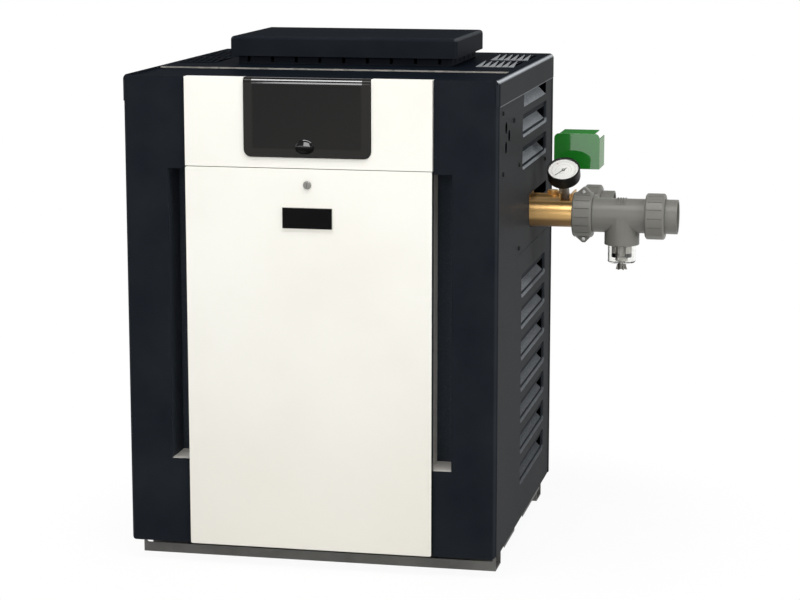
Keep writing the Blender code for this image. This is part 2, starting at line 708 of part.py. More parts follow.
def build_flip_cover():
    front = HINGE_Y - COVER_R
    back = front + COVER_T
    skin = [(front, COVER_BOTTOM)] + arc(HINGE_Y, HINGE_Z, COVER_R, 180, 80, 7)
    skin += arc(HINGE_Y, HINGE_Z, COVER_R - COVER_T, 80, 180, 7) + [(back, COVER_BOTTOM)]
    bm = bmesh.new()
    add_prism(bm, skin, "x", -COVER_HALF, COVER_HALF)
    cover = solid("flip_cover", bm)
    r = NOTCH_R - 0.001
    corner = arc(COVER_HALF - r, COVER_BOTTOM + r, r, -90, 0, 4)
    mask = bmesh.new()
    add_prism(mask, mirrored_outline(corner + [(COVER_HALF, 0.96)]), "y", -0.03, 0.03)
    combine(cover, mask, "INTERSECT")
    ears = bmesh.new()
    ear = arc(HINGE_Y, HINGE_Z, 0.0055, -90, 90, 6) + [(front + 0.002, HINGE_Z + 0.0055),
                                                       (front + 0.002, HINGE_Z - 0.0055)]
    for x0 in (-0.1195, 0.1155):
        add_prism(ears, ear, "x", x0, x0 + 0.004)
    fuse(cover, ears)
    cuts = bmesh.new()
    add_prism(cuts, circle(HINGE_Y, HINGE_Z, PIN_R + 0.0002, 12), "x", -0.13, 0.13)
    add_prism(cuts, rounded_rect(-0.1050, 0.8075, 0.1050, 0.9225, 0.007), "y", front - 0.01, front + 0.0006)
    carve(cover, cuts)
    low = (GRIP_HALF, 0.0027, GRIP_DROP)
    carve(cover, half_ellipsoid((GRIP_X, front - 0.0005, GRIP_Z), low, -1, front + 0.01))
    high = (GRIP_HALF, GRIP_LIP + 0.0004, GRIP_RISE)
    fuse(cover, half_ellipsoid((GRIP_X, front + 0.0004, GRIP_Z), high, 1, front + 0.0015))
    finish(cover, "smoked_plastic", pivot=(0, HINGE_Y, HINGE_Z))

    bm = bmesh.new()
    add_lathe(bm, [(0, -0.1195), (PIN_R, -0.1195), (PIN_R, 0.1195), (0, 0.1195)], 12,
              along_x(HINGE_Y, HINGE_Z))
    finish(solid("flip_cover_pin", bm), "steel")


def key_outline(x, grow):
    w, h = KEY_SIZE[0] / 2 + grow, KEY_SIZE[1] / 2 + grow
    return rounded_rect(x - w, KEY_Z - h, x + w, KEY_Z + h, 0.003 + grow, 2)


def build_control_panel():
    back = 0.0142
    bm = bmesh.new()
    add_box(bm, (-0.135, WHITE_BACK + SEAT, 0.778), (0.135, back, BEZEL_TOP))
    bezel = solid("control_bezel", bm)
    adds = bmesh.new()
    corner = arc(0.1203 - 0.0128, 0.7915 + 0.0128, 0.0128, -90, 0, 4)
    add_prism(adds, mirrored_outline(corner + [(0.1203, BEZEL_TOP)]), "y", BEZEL_FRONT, back - 0.001)
    fuse(bezel, adds)
    ears = bmesh.new()
    arm = arc(HINGE_Y, HINGE_Z, 0.0045, -45, 225, 8) + [(0.0062, 0.902), (0.0112, 0.902), (0.0112, 0.914)]
    for x0 in (-0.1125, 0.108):
        add_prism(ears, arm, "x", x0, x0 + 0.0045)
    for x in (-0.09, 0.09):
        for z in (0.812, 0.908):
            post = [(0, -0.0197), (0.003, -0.0197), (0.003, -back + 0.001), (0, -back + 0.001)]
            add_lathe(ears, post, 8,
                      facing_front(x, 0, z))
    fuse(bezel, ears)
    cuts = bmesh.new()
    add_prism(cuts, circle(HINGE_Y, HINGE_Z, PIN_R + 0.0002, 12), "x", -0.13, 0.13)
    add_prism(cuts, rounded_rect(-0.050, 0.860, 0.050, 0.903, 0.003), "y", 0.0, 0.0085)
    key_x = [(i - 1.5) * KEY_PITCH for i in range(4)]
    for x in key_x:
        add_prism(cuts, key_outline(x, SEAT), "y", 0.0, 0.03)
    carve(bezel, cuts)
    finish(bezel, "black_plastic")

    bm = bmesh.new()
    add_prism(bm, rounded_rect(-0.0496, 0.8604, 0.0496, 0.9026, 0.0026), "y", 0.0064, 0.0082)
    finish(solid("display_window", bm), "display")
    for name, x in zip(KEY_NAMES, key_x):
        bm = bmesh.new()
        add_prism(bm, key_outline(x, 0), "y", 0.002, 0.011)
        finish(solid(name, bm), "key_grey", pivot=(x, BEZEL_FRONT, KEY_Z))

    bm = bmesh.new()
    add_box(bm, (-0.100, 0.0200, 0.805), (0.100, 0.0216, 0.915))
    board = solid("control_board", bm)
    parts = bmesh.new()
    for x, z, w, h, tall in ((-0.07, 0.83, 0.018, 0.014, 0.012), (-0.03, 0.83, 0.018, 0.014, 0.012),
                             (0.02, 0.84, 0.024, 0.024, 0.004), (0.07, 0.88, 0.012, 0.040, 0.010),
                             (-0.05, 0.88, 0.060, 0.010, 0.008)):
        add_box(parts, (x - w / 2, 0.0210, z - h / 2), (x + w / 2, 0.0216 + tall, z + h / 2))
    fuse(board, parts)
    finish(board, "board_green")

    bm = bmesh.new()
    z = SHELF_Z + SEAT
    add_box(bm, (0.150, 0.060, z), (0.210, 0.085, z + 0.048))
    transformer = solid("transformer", bm)
    coil = bmesh.new()
    add_prism(coil, rounded_rect(0.163, 0.048, 0.197, 0.097, 0.006), "z", z + 0.009, z + 0.039)
    add_box(coil, (0.140, 0.066, z), (0.220, 0.079, z + 0.0015))
    fuse(transformer, coil)
    finish(transformer, "lamination_steel")


# Gas and heat

def burner_xs():
    return [(i - (BURNERS - 1) / 2) * BURNER_PITCH for i in range(BURNERS)]


def build_burners():
    rail = 0.262
    y0, y1 = 0.102, 0.575
    bm = bmesh.new()
    add_prism(bm, rounded_rect(-0.262, 0.118, 0.262, 0.160, 0.004, 1), "y", y0, y0 + 0.003)
    rack = solid("burner_rack", bm)
    bars = bmesh.new()
    add_box(bars, (-rail, y1 - 0.003, 0.118), (rail, y1, 0.160))
    fuse(rack, bars)
    rails = bmesh.new()
    for side in (-1, 1):
        inner, outer, flange = side * 0.260, side * rail, side * 0.283
        angle = [(inner, PAN_HIGH + SEAT), (outer, PAN_HIGH + SEAT), (outer, 0.1620), (flange, 0.1620),
                 (flange, CHAMBER_Z[0] - SEAT), (inner, CHAMBER_Z[0] - SEAT)]
        add_prism(rails, angle, "y", y0 + 0.0005, y1 - 0.0005)
    fuse(rack, rails)
    tubes = bmesh.new()
    for x in burner_xs():
        mouth = rounded_rect(x - 0.013, 0.123, x + 0.013, 0.157, 0.009, 1)
        add_prism(tubes, mouth, "y", BURNER_FRONT, y1 - 0.001)
    fuse(rack, tubes)
    bores = bmesh.new()
    for x in burner_xs():
        add_prism(bores, rounded_rect(x - 0.0115, 0.1245, x + 0.0115, 0.1555, 0.0084, 1), "y",
                  BURNER_FRONT - 0.01, y1 - 0.004)
    carve(rack, bores)
    ports = bmesh.new()
    for x in burner_xs():
        add_box(ports, (x - 0.002, y0 + 0.040, 0.150), (x + 0.002, y1 - 0.040, 0.17))
    carve(rack, ports)
    finish(rack, "galvanised")


def build_gas_train():
    bm = bmesh.new()
    pipe = [(0, -0.352), (0.0167, -0.352), (0.0167, -0.1703), (0, -0.1703)]
    add_lathe(bm, pipe, 16, along_x(GAS_Y, GAS_Z))
    pipe = solid("gas_inlet_pipe", bm)
    bore = bmesh.new()
    add_lathe(bore, [(0, -0.36), (0.0133, -0.36), (0.0133, -0.19), (0, -0.19)], 16, along_x(GAS_Y, GAS_Z))
    carve(pipe, bore)
    finish(pipe, "dark_metal")

    bm = bmesh.new()
    add_prism(bm, rounded_rect(-0.170, GAS_Z - 0.028, -0.090, GAS_Z + 0.028, 0.006), "y", 0.037, 0.087)
    valve = solid("gas_valve", bm)
    bosses = bmesh.new()
    stub_x = -0.112
    joint_z = MANIFOLD_Z - 0.0146
    add_lathe(bosses, [(0, GAS_Z), (0.0125, GAS_Z), (0.0125, joint_z - GAP), (0, joint_z - GAP)], 16,
              along_z(stub_x, GAS_Y))
    fuse(valve, bosses)
    finish(valve, "zinc")

    knob_axis = (-0.140, 0.0366, GAS_Z + 0.006)
    bm = bmesh.new()
    add_lathe(bm, [(0, 0), (0.015, 0), (0.015, 0.004), (0.0125, 0.006), (0.0120, 0.015), (0.010, 0.017),
                   (0, 0.017)], 24, facing_front(*knob_axis))
    knob = solid("gas_valve_knob", bm)
    grip = bmesh.new()
    add_box(grip, (knob_axis[0] - 0.0022, knob_axis[1] - 0.020, knob_axis[2] - 0.009),
            (knob_axis[0] + 0.0022, knob_axis[1] - 0.0160, knob_axis[2] + 0.009))
    fuse(knob, grip)
    finish(knob, "red_plastic", pivot=knob_axis)

    end = 0.2445
    bm = bmesh.new()
    add_lathe(bm, [(0, -end), (0.0135, -end), (0.0135, end), (0, end)], 14, along_x(GAS_Y, MANIFOLD_Z))
    manifold = solid("gas_manifold", bm)
    spuds = bmesh.new()
    tip = BURNER_FRONT - SEAT
    for x in burner_xs():
        add_lathe(spuds, [(0, -tip), (0.003, -tip), (0.005, -tip + 0.003), (0.005, -GAS_Y), (0, -GAS_Y)], 7,
                  facing_front(x, 0, MANIFOLD_Z))
    add_lathe(spuds, [(0, joint_z), (0.012, joint_z), (0.012, MANIFOLD_Z), (0, MANIFOLD_Z)], 13,
              along_z(stub_x, GAS_Y))
    fuse(manifold, spuds)
    finish(manifold, "dark_metal")

    bm = bmesh.new()
    add_box(bm, (0.165, 0.1006, 0.168), (0.195, CHAMBER_Y[0] - SEAT, 0.215))
    igniter = solid("igniter", bm)
    rod = bmesh.new()
    add_lathe(rod, [(0, -0.102), (0.005, -0.102), (0.005, -0.082), (0.002, -0.080), (0.002, -0.072),
                    (0, -0.072)], 12, facing_front(0.18, 0, 0.198))
    fuse(igniter, rod)
    finish(igniter, "refractory")


def build_combustion_chamber():
    x, (y0, y1), w = CHAMBER_X, CHAMBER_Y, CHAMBER_WALL
    bm = bmesh.new()
    add_box(bm, (-x, y0, CHAMBER_Z[0]), (x, y1, CHAMBER_Z[1]))
    chamber = solid("combustion_chamber", bm)
    hollow = bmesh.new()
    add_box(hollow, (-x + w, y0 + w, 0.1), (x - w, y1 - w, 0.7))
    carve(chamber, hollow)
    finish(chamber, "refractory")


def build_heat_exchanger():
    mid = sum(HEADER_Y) / 2
    end = HEADER_X[0] - SEAT
    bm = bmesh.new()
    add_box(bm, (end - 0.006, HEADER_Y[0], HEADER_Z[0]), (end, HEADER_Y[1], HEADER_Z[1]))
    exchanger = solid("heat_exchanger", bm)
    other = bmesh.new()
    add_box(other, (-end, HEADER_Y[0], HEADER_Z[0]), (-end + 0.006, HEADER_Y[1], HEADER_Z[1]))
    tubes = bmesh.new()
    bores = bmesh.new()
    for i in range(TUBES):
        y = mid + (i - (TUBES - 1) / 2) * TUBE_PITCH
        h = end - 0.003
        add_lathe(tubes, [(0, -h), (TUBE_R, -h), (TUBE_R, h), (0, h)], 10, along_x(y, PIPE_Z))
        inner = TUBE_R - 0.004
        add_lathe(bores, [(0, -0.4), (inner, -0.4), (inner, 0.4), (0, 0.4)], 10, along_x(y, PIPE_Z))
    fuse(exchanger, tubes)
    fuse(exchanger, other)
    carve(exchanger, bores)
    finish(exchanger, "copper")


def header_box(name):
    wall = 0.006
    bm = bmesh.new()
    add_box(bm, (HEADER_X[0], HEADER_Y[0], HEADER_Z[0]), (HEADER_X[1], HEADER_Y[1], HEADER_Z[1]))
    box = solid(name, bm)
    cavity = bmesh.new()
    add_box(cavity, (HEADER_X[0] - 0.01, HEADER_Y[0] + wall, HEADER_Z[0] + wall),
            (HEADER_X[1] - wall, HEADER_Y[1] - wall, HEADER_Z[1] - wall))
    carve(box, cavity)
    return box


def build_headers():
    plain = header_box("plain_header")
    finish(mirror_copy(plain, "return_header"), "bronze")
    mesh = plain.data
    bpy.data.objects.remove(plain)
    bpy.data.meshes.remove(mesh)

    header = header_box("inlet_outlet_header")
    root_x = HEADER_X[1] - 0.003
    stub = [(0, root_x), (STUB_R, root_x)]
    outlet = stub + [(STUB_R, 0.4570), (0.034, 0.4570), (0.034, 0.4627), (0, 0.4627)]
    inlet = stub + [(STUB_R, 0.4520), (THREAD_R, 0.4540), (THREAD_R, 0.4655), (0, 0.4655)]
    near = bmesh.new()
    add_lathe(near, outlet, 26, along_x(OUT_Y, PIPE_Z))
    add_lathe(near, inlet, 26, along_x(IN_Y, PIPE_Z))
    fuse(header, near)
    web = bmesh.new()
    add_box(web, (0.345, OUT_Y - 0.0166, 0.630), (0.4425, IN_Y + 0.0166, WEB_TOP))
    fuse(header, web)
    bosses = bmesh.new()
    add_lathe(bosses, [(0, -0.096), (0.0125, -0.096), (0.0125, GAUGE_BOSS_TOP), (0, GAUGE_BOSS_TOP)], 16,
              gauge_frame())
    add_lathe(bosses, [(0, 0.650), (0.0115, 0.650), (0.0115, RELIEF_TOP - 0.0015), (0.0100, RELIEF_TOP),
                       (0, RELIEF_TOP)], 15, along_z(RELIEF_X, IN_Y))
    add_box(bosses, (BRACKET_X[0] - 0.001, 0.5030, 0.645), (BRACKET_X[1] + 0.001, 0.5330, BRACKET_PAD))
    fuse(header, bosses)
    for x, rear in GAUGE_RIBS:
        rib = bmesh.new()
        add_box(rib, (x, 0.4405, 0.653), (x + GAUGE_RIB_T, rear, GAUGE_RIB_TOP))
        fuse(header, rib)
    bores = bmesh.new()
    for y in (OUT_Y, IN_Y):
        bore = [(0, 0.325), (STUB_BORE, 0.325), (STUB_BORE, 0.50), (0, 0.50)]
        add_lathe(bores, bore, 16, along_x(y, PIPE_Z))
    carve(header, bores)
    finish(header, "bronze")


def build_flue_collector():
    low = (0.285, 0.195, 0.595, HEADER_Z[1] + SEAT)
    high = (0.200, 0.310, 0.558, 0.945)
    rings = []
    for inset, (x, y0, y1, z) in ((0, low), (0, high), (SHEET, high), (SHEET, low)):
        w, front, back = x - inset, y0 + inset, y1 - inset
        rings.append([(-w, front, z), (w, front, z), (w, back, z), (-w, back, z)])
    bm = bmesh.new()
    loops = [[bm.verts.new(p) for p in ring] for ring in rings]
    for a, b in zip(loops, loops[1:] + loops[:1]):
        for i in range(4):
            j = (i + 1) % 4
            bm.faces.new((a[i], a[j], b[j], b[i]))
    finish(solid("flue_collector", bm), "galvanised")


def build_sensors():
    face = HEADER_Y[0] - SEAT
    can = [(0, 0), (0.012, 0), (0.012, 0.010), (0.009, 0.012), (0.009, 0.022), (0, 0.022)]
    bm = bmesh.new()
    add_lathe(bm, can, 16, facing_front(0.315, face, 0.655))
    finish(solid("high_limit_switch", bm), "steel")
    probe = [(0, 0), (0.008, 0), (0.008, 0.006), (0.0045, 0.008), (0.0045, 0.028), (0, 0.028)]
    bm = bmesh.new()
    add_lathe(bm, probe, 12, facing_front(0.315, face, 0.624))
    finish(solid("water_sensor", bm), "bronze")
    top = HEADER_Z[1] + SEAT
    switch = [(0, top), (0.007, top), (0.007, top + 0.012), (0.018, top + 0.014), (0.018, top + 0.036),
              (0.014, top + 0.040), (0, top + 0.040)]
    bm = bmesh.new()
    add_lathe(bm, switch, 16, along_z(0.315, 0.260))
    finish(solid("pressure_switch", bm), "black_plastic")


# Water side

def add_grooves(bm, y, z, radius, x0, x1, count):
    for i in range(count):
        turn = Matrix.Translation((0, y, z)) @ Matrix.Rotation(2 * pi * i / count, 4, "X")
        add_box(bm, (x0, -0.0009, radius - 0.0013), (x1, 0.0009, radius + 0.004), turn)


def build_clamp():
    x0, x1 = CLAMP_X
    edge = 0.0025
    profile = [(STUB_R + 0.0005, x0), (CLAMP_R - edge, x0), (CLAMP_R, x0 + edge), (CLAMP_R, x1 - edge),
               (CLAMP_R - edge, x1), (0.0295, x1), (0.0295, 0.4699), (0.0345, 0.4699), (0.0345, 0.4566),
               (STUB_R + 0.0005, 0.4566)]
    ear = [(x0 + 0.004, 0.034), (x1 - 0.002, 0.034), (x1 - 0.002, 0.0415), (x0 + 0.0245, 0.0548),
           (x0 + 0.0185, 0.0548), (x0 + 0.004, 0.0425)]
    for name, side in (("clamp_front_half", -1), ("clamp_rear_half", 1)):
        bm = bmesh.new()
        add_lathe(bm, profile, 28, along_x(OUT_Y, PIPE_Z))
        half = solid(name, bm)
        ears = bmesh.new()
        for sign in (-1, 1):
            outline = [(x, PIPE_Z + sign * z) for x, z in ear]
            add_prism(ears, outline, "y", OUT_Y + side * 0.0095, OUT_Y)
        fuse(half, ears)
        near = OUT_Y + side * GAP / 2
        keep = bmesh.new()
        far = near + side * 0.08
        add_box(keep, (0.40, min(near, far), 0.55), (0.52, max(near, far), 0.75))
        combine(half, keep, "INTERSECT")
        bore = bmesh.new()
        inside = profile[-1:] + [(0.0345, 0.4566), (0.0345, 0.4699), (0.0295, 0.4699), (0.0295, 0.49)]
        inside += [(0.020, 0.49), (0.020, 0.43), (STUB_R + 0.0005, 0.43)]
        add_lathe(bore, inside, 28, along_x(OUT_Y, PIPE_Z))
        carve(half, bore)
        grooves = bmesh.new()
        add_grooves(grooves, OUT_Y, PIPE_Z, CLAMP_R, x0 + 0.005, x1 - 0.005, GROOVES)
        carve(half, grooves)
        finish(half, "grey_pvc")


def build_tee():
    run = [(0, 0.4635), (0.034, 0.4635), (0.034, 0.4695), (0.029, 0.4695), (0.029, 0.4830)]
    run += [(TEE_R, 0.4830), (TEE_R, 0.5868), (THREAD_R, 0.5888), (THREAD_R, 0.6060), (0, 0.6060)]
    bm = bmesh.new()
    add_lathe(bm, run, 28, along_x(OUT_Y, PIPE_Z))
    tee = solid("anode_tee", bm)
    branch = bmesh.new()
    skirt = [(0, BRANCH_BOTTOM), (BRANCH_R - 0.0012, BRANCH_BOTTOM), (BRANCH_R, BRANCH_BOTTOM + 0.0012)]
    add_lathe(branch, skirt + [(BRANCH_R, PIPE_Z), (0, PIPE_Z)], 28, along_z(BRANCH_X, OUT_Y))
    fuse(tee, branch)
    bore = bmesh.new()
    way = [(0, 0.45), (TEE_BORE, 0.45), (TEE_BORE, 0.62), (0, 0.62)]
    add_lathe(bore, way, 18, along_x(OUT_Y, PIPE_Z))
    carve(tee, bore)
    down = bmesh.new()
    way = [(0, 0.57), (BRANCH_BORE, 0.57), (BRANCH_BORE, 0.6255), (0, 0.6255)]
    add_lathe(down, way, 20, along_z(BRANCH_X, OUT_Y))
    carve(tee, down)
    finish(tee, "grey_pvc")


def build_anode():
    axis = along_z(BRANCH_X, OUT_Y)
    pivot = (BRANCH_X, OUT_Y, BRANCH_BOTTOM)
    floor = CAP_BOTTOM + 0.004
    cup = [(0.0048, CAP_BOTTOM), (CAP_R - 0.004, CAP_BOTTOM), (CAP_R - 0.0012, CAP_BOTTOM + 0.0012)]
    cup += [(CAP_R, CAP_BOTTOM + 0.004), (CAP_R, 0.6000), (CAP_R - 0.003, 0.6000)]
    cup += [(CAP_R - 0.003, floor), (0.0048, floor)]
    bm = bmesh.new()
    add_lathe(bm, cup, 24, axis)
    finish(solid("anode_cap", bm), "clear_plastic", pivot=pivot)
    rod = [(0, 0.5405), (0.0042, 0.5405), (0.0042, floor + SEAT), (0.0125, floor + SEAT)]
    rod += [(0.0125, floor + 0.008), (0.009, floor + 0.009), (0.009, 0.653), (0.007, 0.655), (0, 0.655)]
    bm = bmesh.new()
    add_lathe(bm, rod, 12, axis)
    finish(solid("anode_rod", bm), "zinc", pivot=pivot)

    top = CAP_BOTTOM - SEAT
    bm = bmesh.new()
    add_lathe(bm, [(0.0045, top), (0.0075, top), (0.0065, 0.5340), (0.0045, 0.5340)], 15, axis)
    wing = solid("anode_wing_nut", bm)
    fins = bmesh.new()
    fin = [(0.0052, top - 0.0005), (0.0078, top - 0.0005), (0.0114, WING_BOTTOM), (0.0070, WING_BOTTOM)]
    fin += [(0.0052, 0.5380)]
    for i in range(6):
        turn = Matrix.Translation((BRANCH_X, OUT_Y, 0)) @ Matrix.Rotation(pi * i / 3, 4, "Z")
        add_prism(fins, fin, "y", -0.0009, 0.0009, turn)
    fuse(wing, fins)
    finish(wing, "dark_metal", pivot=pivot)


def build_union(prefix, y, nut_x, boss_end, tail_end):
    axis = along_x(y, PIPE_Z)
    a, b = nut_x
    seal = (boss_end + GAP, boss_end + 0.0027)
    flange = (boss_end + 0.0030, boss_end + 0.0061)
    step = boss_end + 0.0065
    edge = 0.003
    bm = bmesh.new()
    ring = [(THREAD_R + SEAT, a), (NUT_R - edge, a), (NUT_R, a + edge), (NUT_R, b - edge)]
    ring += [(NUT_R - edge, b), (TAIL_R + SEAT, b), (TAIL_R + SEAT, step), (THREAD_R + SEAT, step)]
    add_lathe(bm, ring, 32, axis)
    nut = solid(prefix + "_union_nut", bm)
    grooves = bmesh.new()
    add_grooves(grooves, y, PIPE_Z, NUT_R, a + 0.0055, b - 0.0055, GROOVES)
    carve(nut, grooves)
    finish(nut, "grey_pvc", pivot=((a + b) / 2, y, PIPE_Z))

    bm = bmesh.new()
    tail = [(TEE_BORE, flange[0]), (THREAD_R, flange[0]), (THREAD_R, flange[1]), (TAIL_R, flange[1])]
    tail += [(TAIL_R, tail_end), (SOCKET_R + 0.001, tail_end), (SOCKET_R, tail_end - 0.001)]
    tail += [(SOCKET_R, boss_end + 0.0073), (TEE_BORE, boss_end + 0.0073)]
    add_lathe(bm, tail, 28, axis)
    finish(solid(prefix + "_tailpiece", bm), "grey_pvc")

    bm = bmesh.new()
    add_lathe(bm, [(0.0295, seal[0]), (0.0375, seal[0]), (0.0375, seal[1]), (0.0295, seal[1])], 16, axis)
    finish(solid(prefix + "_union_seal", bm), "rubber")


# Gauge and guard

def gauge_frame():
    return Matrix.Translation(GAUGE_AT) @ Matrix.Rotation(radians(GAUGE_LEAN), 4, "X")


def gauge_piece(name, profile, steps, look):
    bm = bmesh.new()
    add_lathe(bm, profile, steps, Matrix())
    obj = finish(solid(name, bm), look)
    obj.location = GAUGE_AT
    obj.rotation_euler = (radians(GAUGE_LEAN), 0, 0)
    return obj


def build_gauge():
    r = GAUGE_R
    back = GAUGE_BACK
    case = [(0, back), (r - 0.006, back), (r - 0.001, back + 0.005), (r, back + 0.009), (r, 0.0035)]
    case += [(r - 0.001, 0.0045), (r - 0.0025, 0.0045), (r - 0.0025, -0.0015), (0, -0.0015)]
    gauge_piece("gauge_case", case, 32, "black_plastic")
    seat = GAUGE_BOSS_TOP + GAP
    stem = [(0, seat), (0.0075, seat), (0.0075, back - 0.006), (0.0090, back - 0.005)]
    stem += [(0.0090, back - GAP), (0, back - GAP)]
    gauge_piece("gauge_stem", stem, 18, "steel")
    disc = r - 0.0028
    dial = [(0, -0.0012), (disc, -0.0012), (disc, 0), (0.0010, 0), (0.0010, 0.0018), (0, 0.0018)]
    gauge_piece("gauge_dial", dial, 24, "dial_white")
    lens = [(0, 0.0024), (disc, 0.0024), (disc, 0.0038), (disc - 0.0006, 0.0042), (0, 0.0042)]
    gauge_piece("gauge_lens", lens, 24, "glass")
    bm = bmesh.new()
    needle = [(-0.0007, -0.008), (0.0007, -0.008), (0.0009, 0.0), (0.0003, 0.0225)]
    needle += [(-x, y) for x, y in needle[:1:-1]]
    zero = Matrix.Rotation(radians(135), 4, "Z")
    add_prism(bm, needle, "z", 0.0005, 0.0011, zero)
    pointer = solid("gauge_pointer", bm)
    hub = bmesh.new()
    add_prism(hub, circle(0, 0, 0.0034, 16), "z", 0.0005, 0.0014)
    fuse(pointer, hub)
    hole = bmesh.new()
    add_prism(hole, circle(0, 0, 0.0013, 12), "z", -0.001, 0.003)
    carve(pointer, hole)
    finish(pointer, "needle_black")
    pointer.location = GAUGE_AT
    pointer.rotation_euler = (radians(GAUGE_LEAN), 0, 0)


def build_guard():
    (x0, x1), (y0, y1), (z0, z1), t = GUARD_X, GUARD_Y, GUARD_Z, GUARD_T
    r = 0.010
    face = [(x0, z0), (x1, z0)] + arc(x1 - r, z1 - r, r, 0, 90, 4) + arc(x0 + r, z1 - r, r, 90, 180, 4)
    bm = bmesh.new()
    add_prism(bm, face, "y", y0, y0 + t)
    guard = solid("splash_guard", bm)
    flanges = bmesh.new()
    lap = y0 + t / 2
    add_box(flanges, (x0 + r + 0.0005, lap, z1 - t), (x1 - r - 0.0005, y1, z1))
    add_box(flanges, (x0, lap, z0), (x0 + t, y1, z1 - r - 0.0005))
    add_box(flanges, (x1 - t, lap, z0), (x1, y1, z1 - r - 0.0005))
    fuse(guard, flanges)
    finish(guard, "green_plastic")

    back = y0 + t + SEAT
    s = 0.0018
    foot = BRACKET_PAD + SEAT
    bm = bmesh.new()
    outline = [(back, foot), (0.532, foot), (0.532, foot + s), (back + s, foot + s)]
    outline += [(back + s, 0.745), (back, 0.745)]
    add_prism(bm, outline, "x", BRACKET_X[0], BRACKET_X[1])
    finish(solid("guard_bracket", bm), "steel")


def main():
    build_base()
    build_side_panels()
    build_header_access_panel()
    build_rear_panel()
    build_top_panel()
    build_vent()
    build_front()
    build_slot_pockets()
    build_control_shelf()
    build_flip_cover()
    build_control_panel()
    build_burners()
    build_gas_train()
    build_combustion_chamber()
    build_heat_exchanger()
    build_headers()
    build_flue_collector()
    build_sensors()
    build_clamp()
    build_tee()
    build_anode()
    build_union("outlet", OUT_Y, OUT_NUT_X, 0.6060, OUT_TAIL_END)
    build_union("inlet", IN_Y, IN_NUT_X, 0.4655, IN_TAIL_END)
    build_gauge()
    build_guard()


for old in list(bpy.data.objects):
    bpy.data.objects.remove(old)
root = bpy.data.objects.new("heater_root", None)
bpy.context.collection.objects.link(root)
root.location = ORIGIN_SHIFT
main()
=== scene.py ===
import json
import math

import bmesh
import bpy
from mathutils import Matrix, Vector


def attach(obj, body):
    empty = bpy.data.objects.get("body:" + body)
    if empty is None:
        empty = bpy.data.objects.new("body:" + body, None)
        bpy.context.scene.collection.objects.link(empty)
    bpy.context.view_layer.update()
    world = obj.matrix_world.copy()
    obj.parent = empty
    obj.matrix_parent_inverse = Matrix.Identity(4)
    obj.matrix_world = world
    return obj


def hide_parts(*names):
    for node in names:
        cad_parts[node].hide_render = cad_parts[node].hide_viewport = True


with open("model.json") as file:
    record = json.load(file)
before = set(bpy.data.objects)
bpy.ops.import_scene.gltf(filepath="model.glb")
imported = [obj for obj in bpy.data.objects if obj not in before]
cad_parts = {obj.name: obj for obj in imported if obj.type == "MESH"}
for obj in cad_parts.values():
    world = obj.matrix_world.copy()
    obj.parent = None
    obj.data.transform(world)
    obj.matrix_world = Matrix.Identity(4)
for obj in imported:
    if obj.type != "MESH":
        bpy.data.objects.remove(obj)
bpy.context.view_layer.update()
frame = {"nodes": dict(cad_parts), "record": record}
nodes = frame["nodes"]
record = frame["record"]
bodyOf = {node: body for body, members in record["behaviour"]["bodies"].items() for node in members}
cabinetShift = Vector((-0.146, -0.33925, 0.0))  # cabinet frame to model frame
pipeZ = 0.641  # axis of the outlet pipe, in the cabinet frame
outletY = 0.406
samePoint = 1e-5  # points closer than this are one point
squareOn = 0.9  # a face turned this far along an axis looks that way
print("frame loaded:", len(nodes), "nodes")


def cab(x, y, z):
    # a place in the cabinet frame, given in the model frame
    return Vector((x, y, z)) + cabinetShift


def lin(red, green, blue):
    # a picture colour, 0 to 255, as linear light
    def one(v):
        v = v / 255
        return v / 12.92 if v <= 0.04045 else ((v + 0.055) / 1.055) ** 2.4
    return (one(red), one(green), one(blue), 1.0)


# shader maths: sockets that add, multiply and compare

class Sock:
    def __init__(self, sheet, out):
        self.sheet = sheet
        self.out = out

    def maths(self, how, other=0.0, flipped=False):
        pair = (other, self) if flipped else (self, other)
        return self.sheet.node("ShaderNodeMath", {"operation": how}, {0: pair[0], 1: pair[1]})

    def __add__(self, other):
        return self.maths("ADD", other)

    def __radd__(self, other):
        return self.maths("ADD", other, True)

    def __sub__(self, other):
        return self.maths("SUBTRACT", other)

    def __rsub__(self, other):
        return self.maths("SUBTRACT", other, True)

    def __mul__(self, other):
        return self.maths("MULTIPLY", other)

    def __rmul__(self, other):
        return self.maths("MULTIPLY", other, True)

    def __truediv__(self, other):
        return self.maths("DIVIDE", other)

    def __rtruediv__(self, other):
        return self.maths("DIVIDE", other, True)

    def __abs__(self):
        return self.maths("ABSOLUTE")

    def __lt__(self, other):
        return self.maths("LESS_THAN", other)

    def __gt__(self, other):
        return self.maths("GREATER_THAN", other)

    def step(self, low, high):
        # smooth 0 to 1 between two values
        return self.sheet.node("ShaderNodeMapRange", {"interpolation_type": "SMOOTHSTEP"},
                               {"Value": self, "From Min": low, "From Max": high})


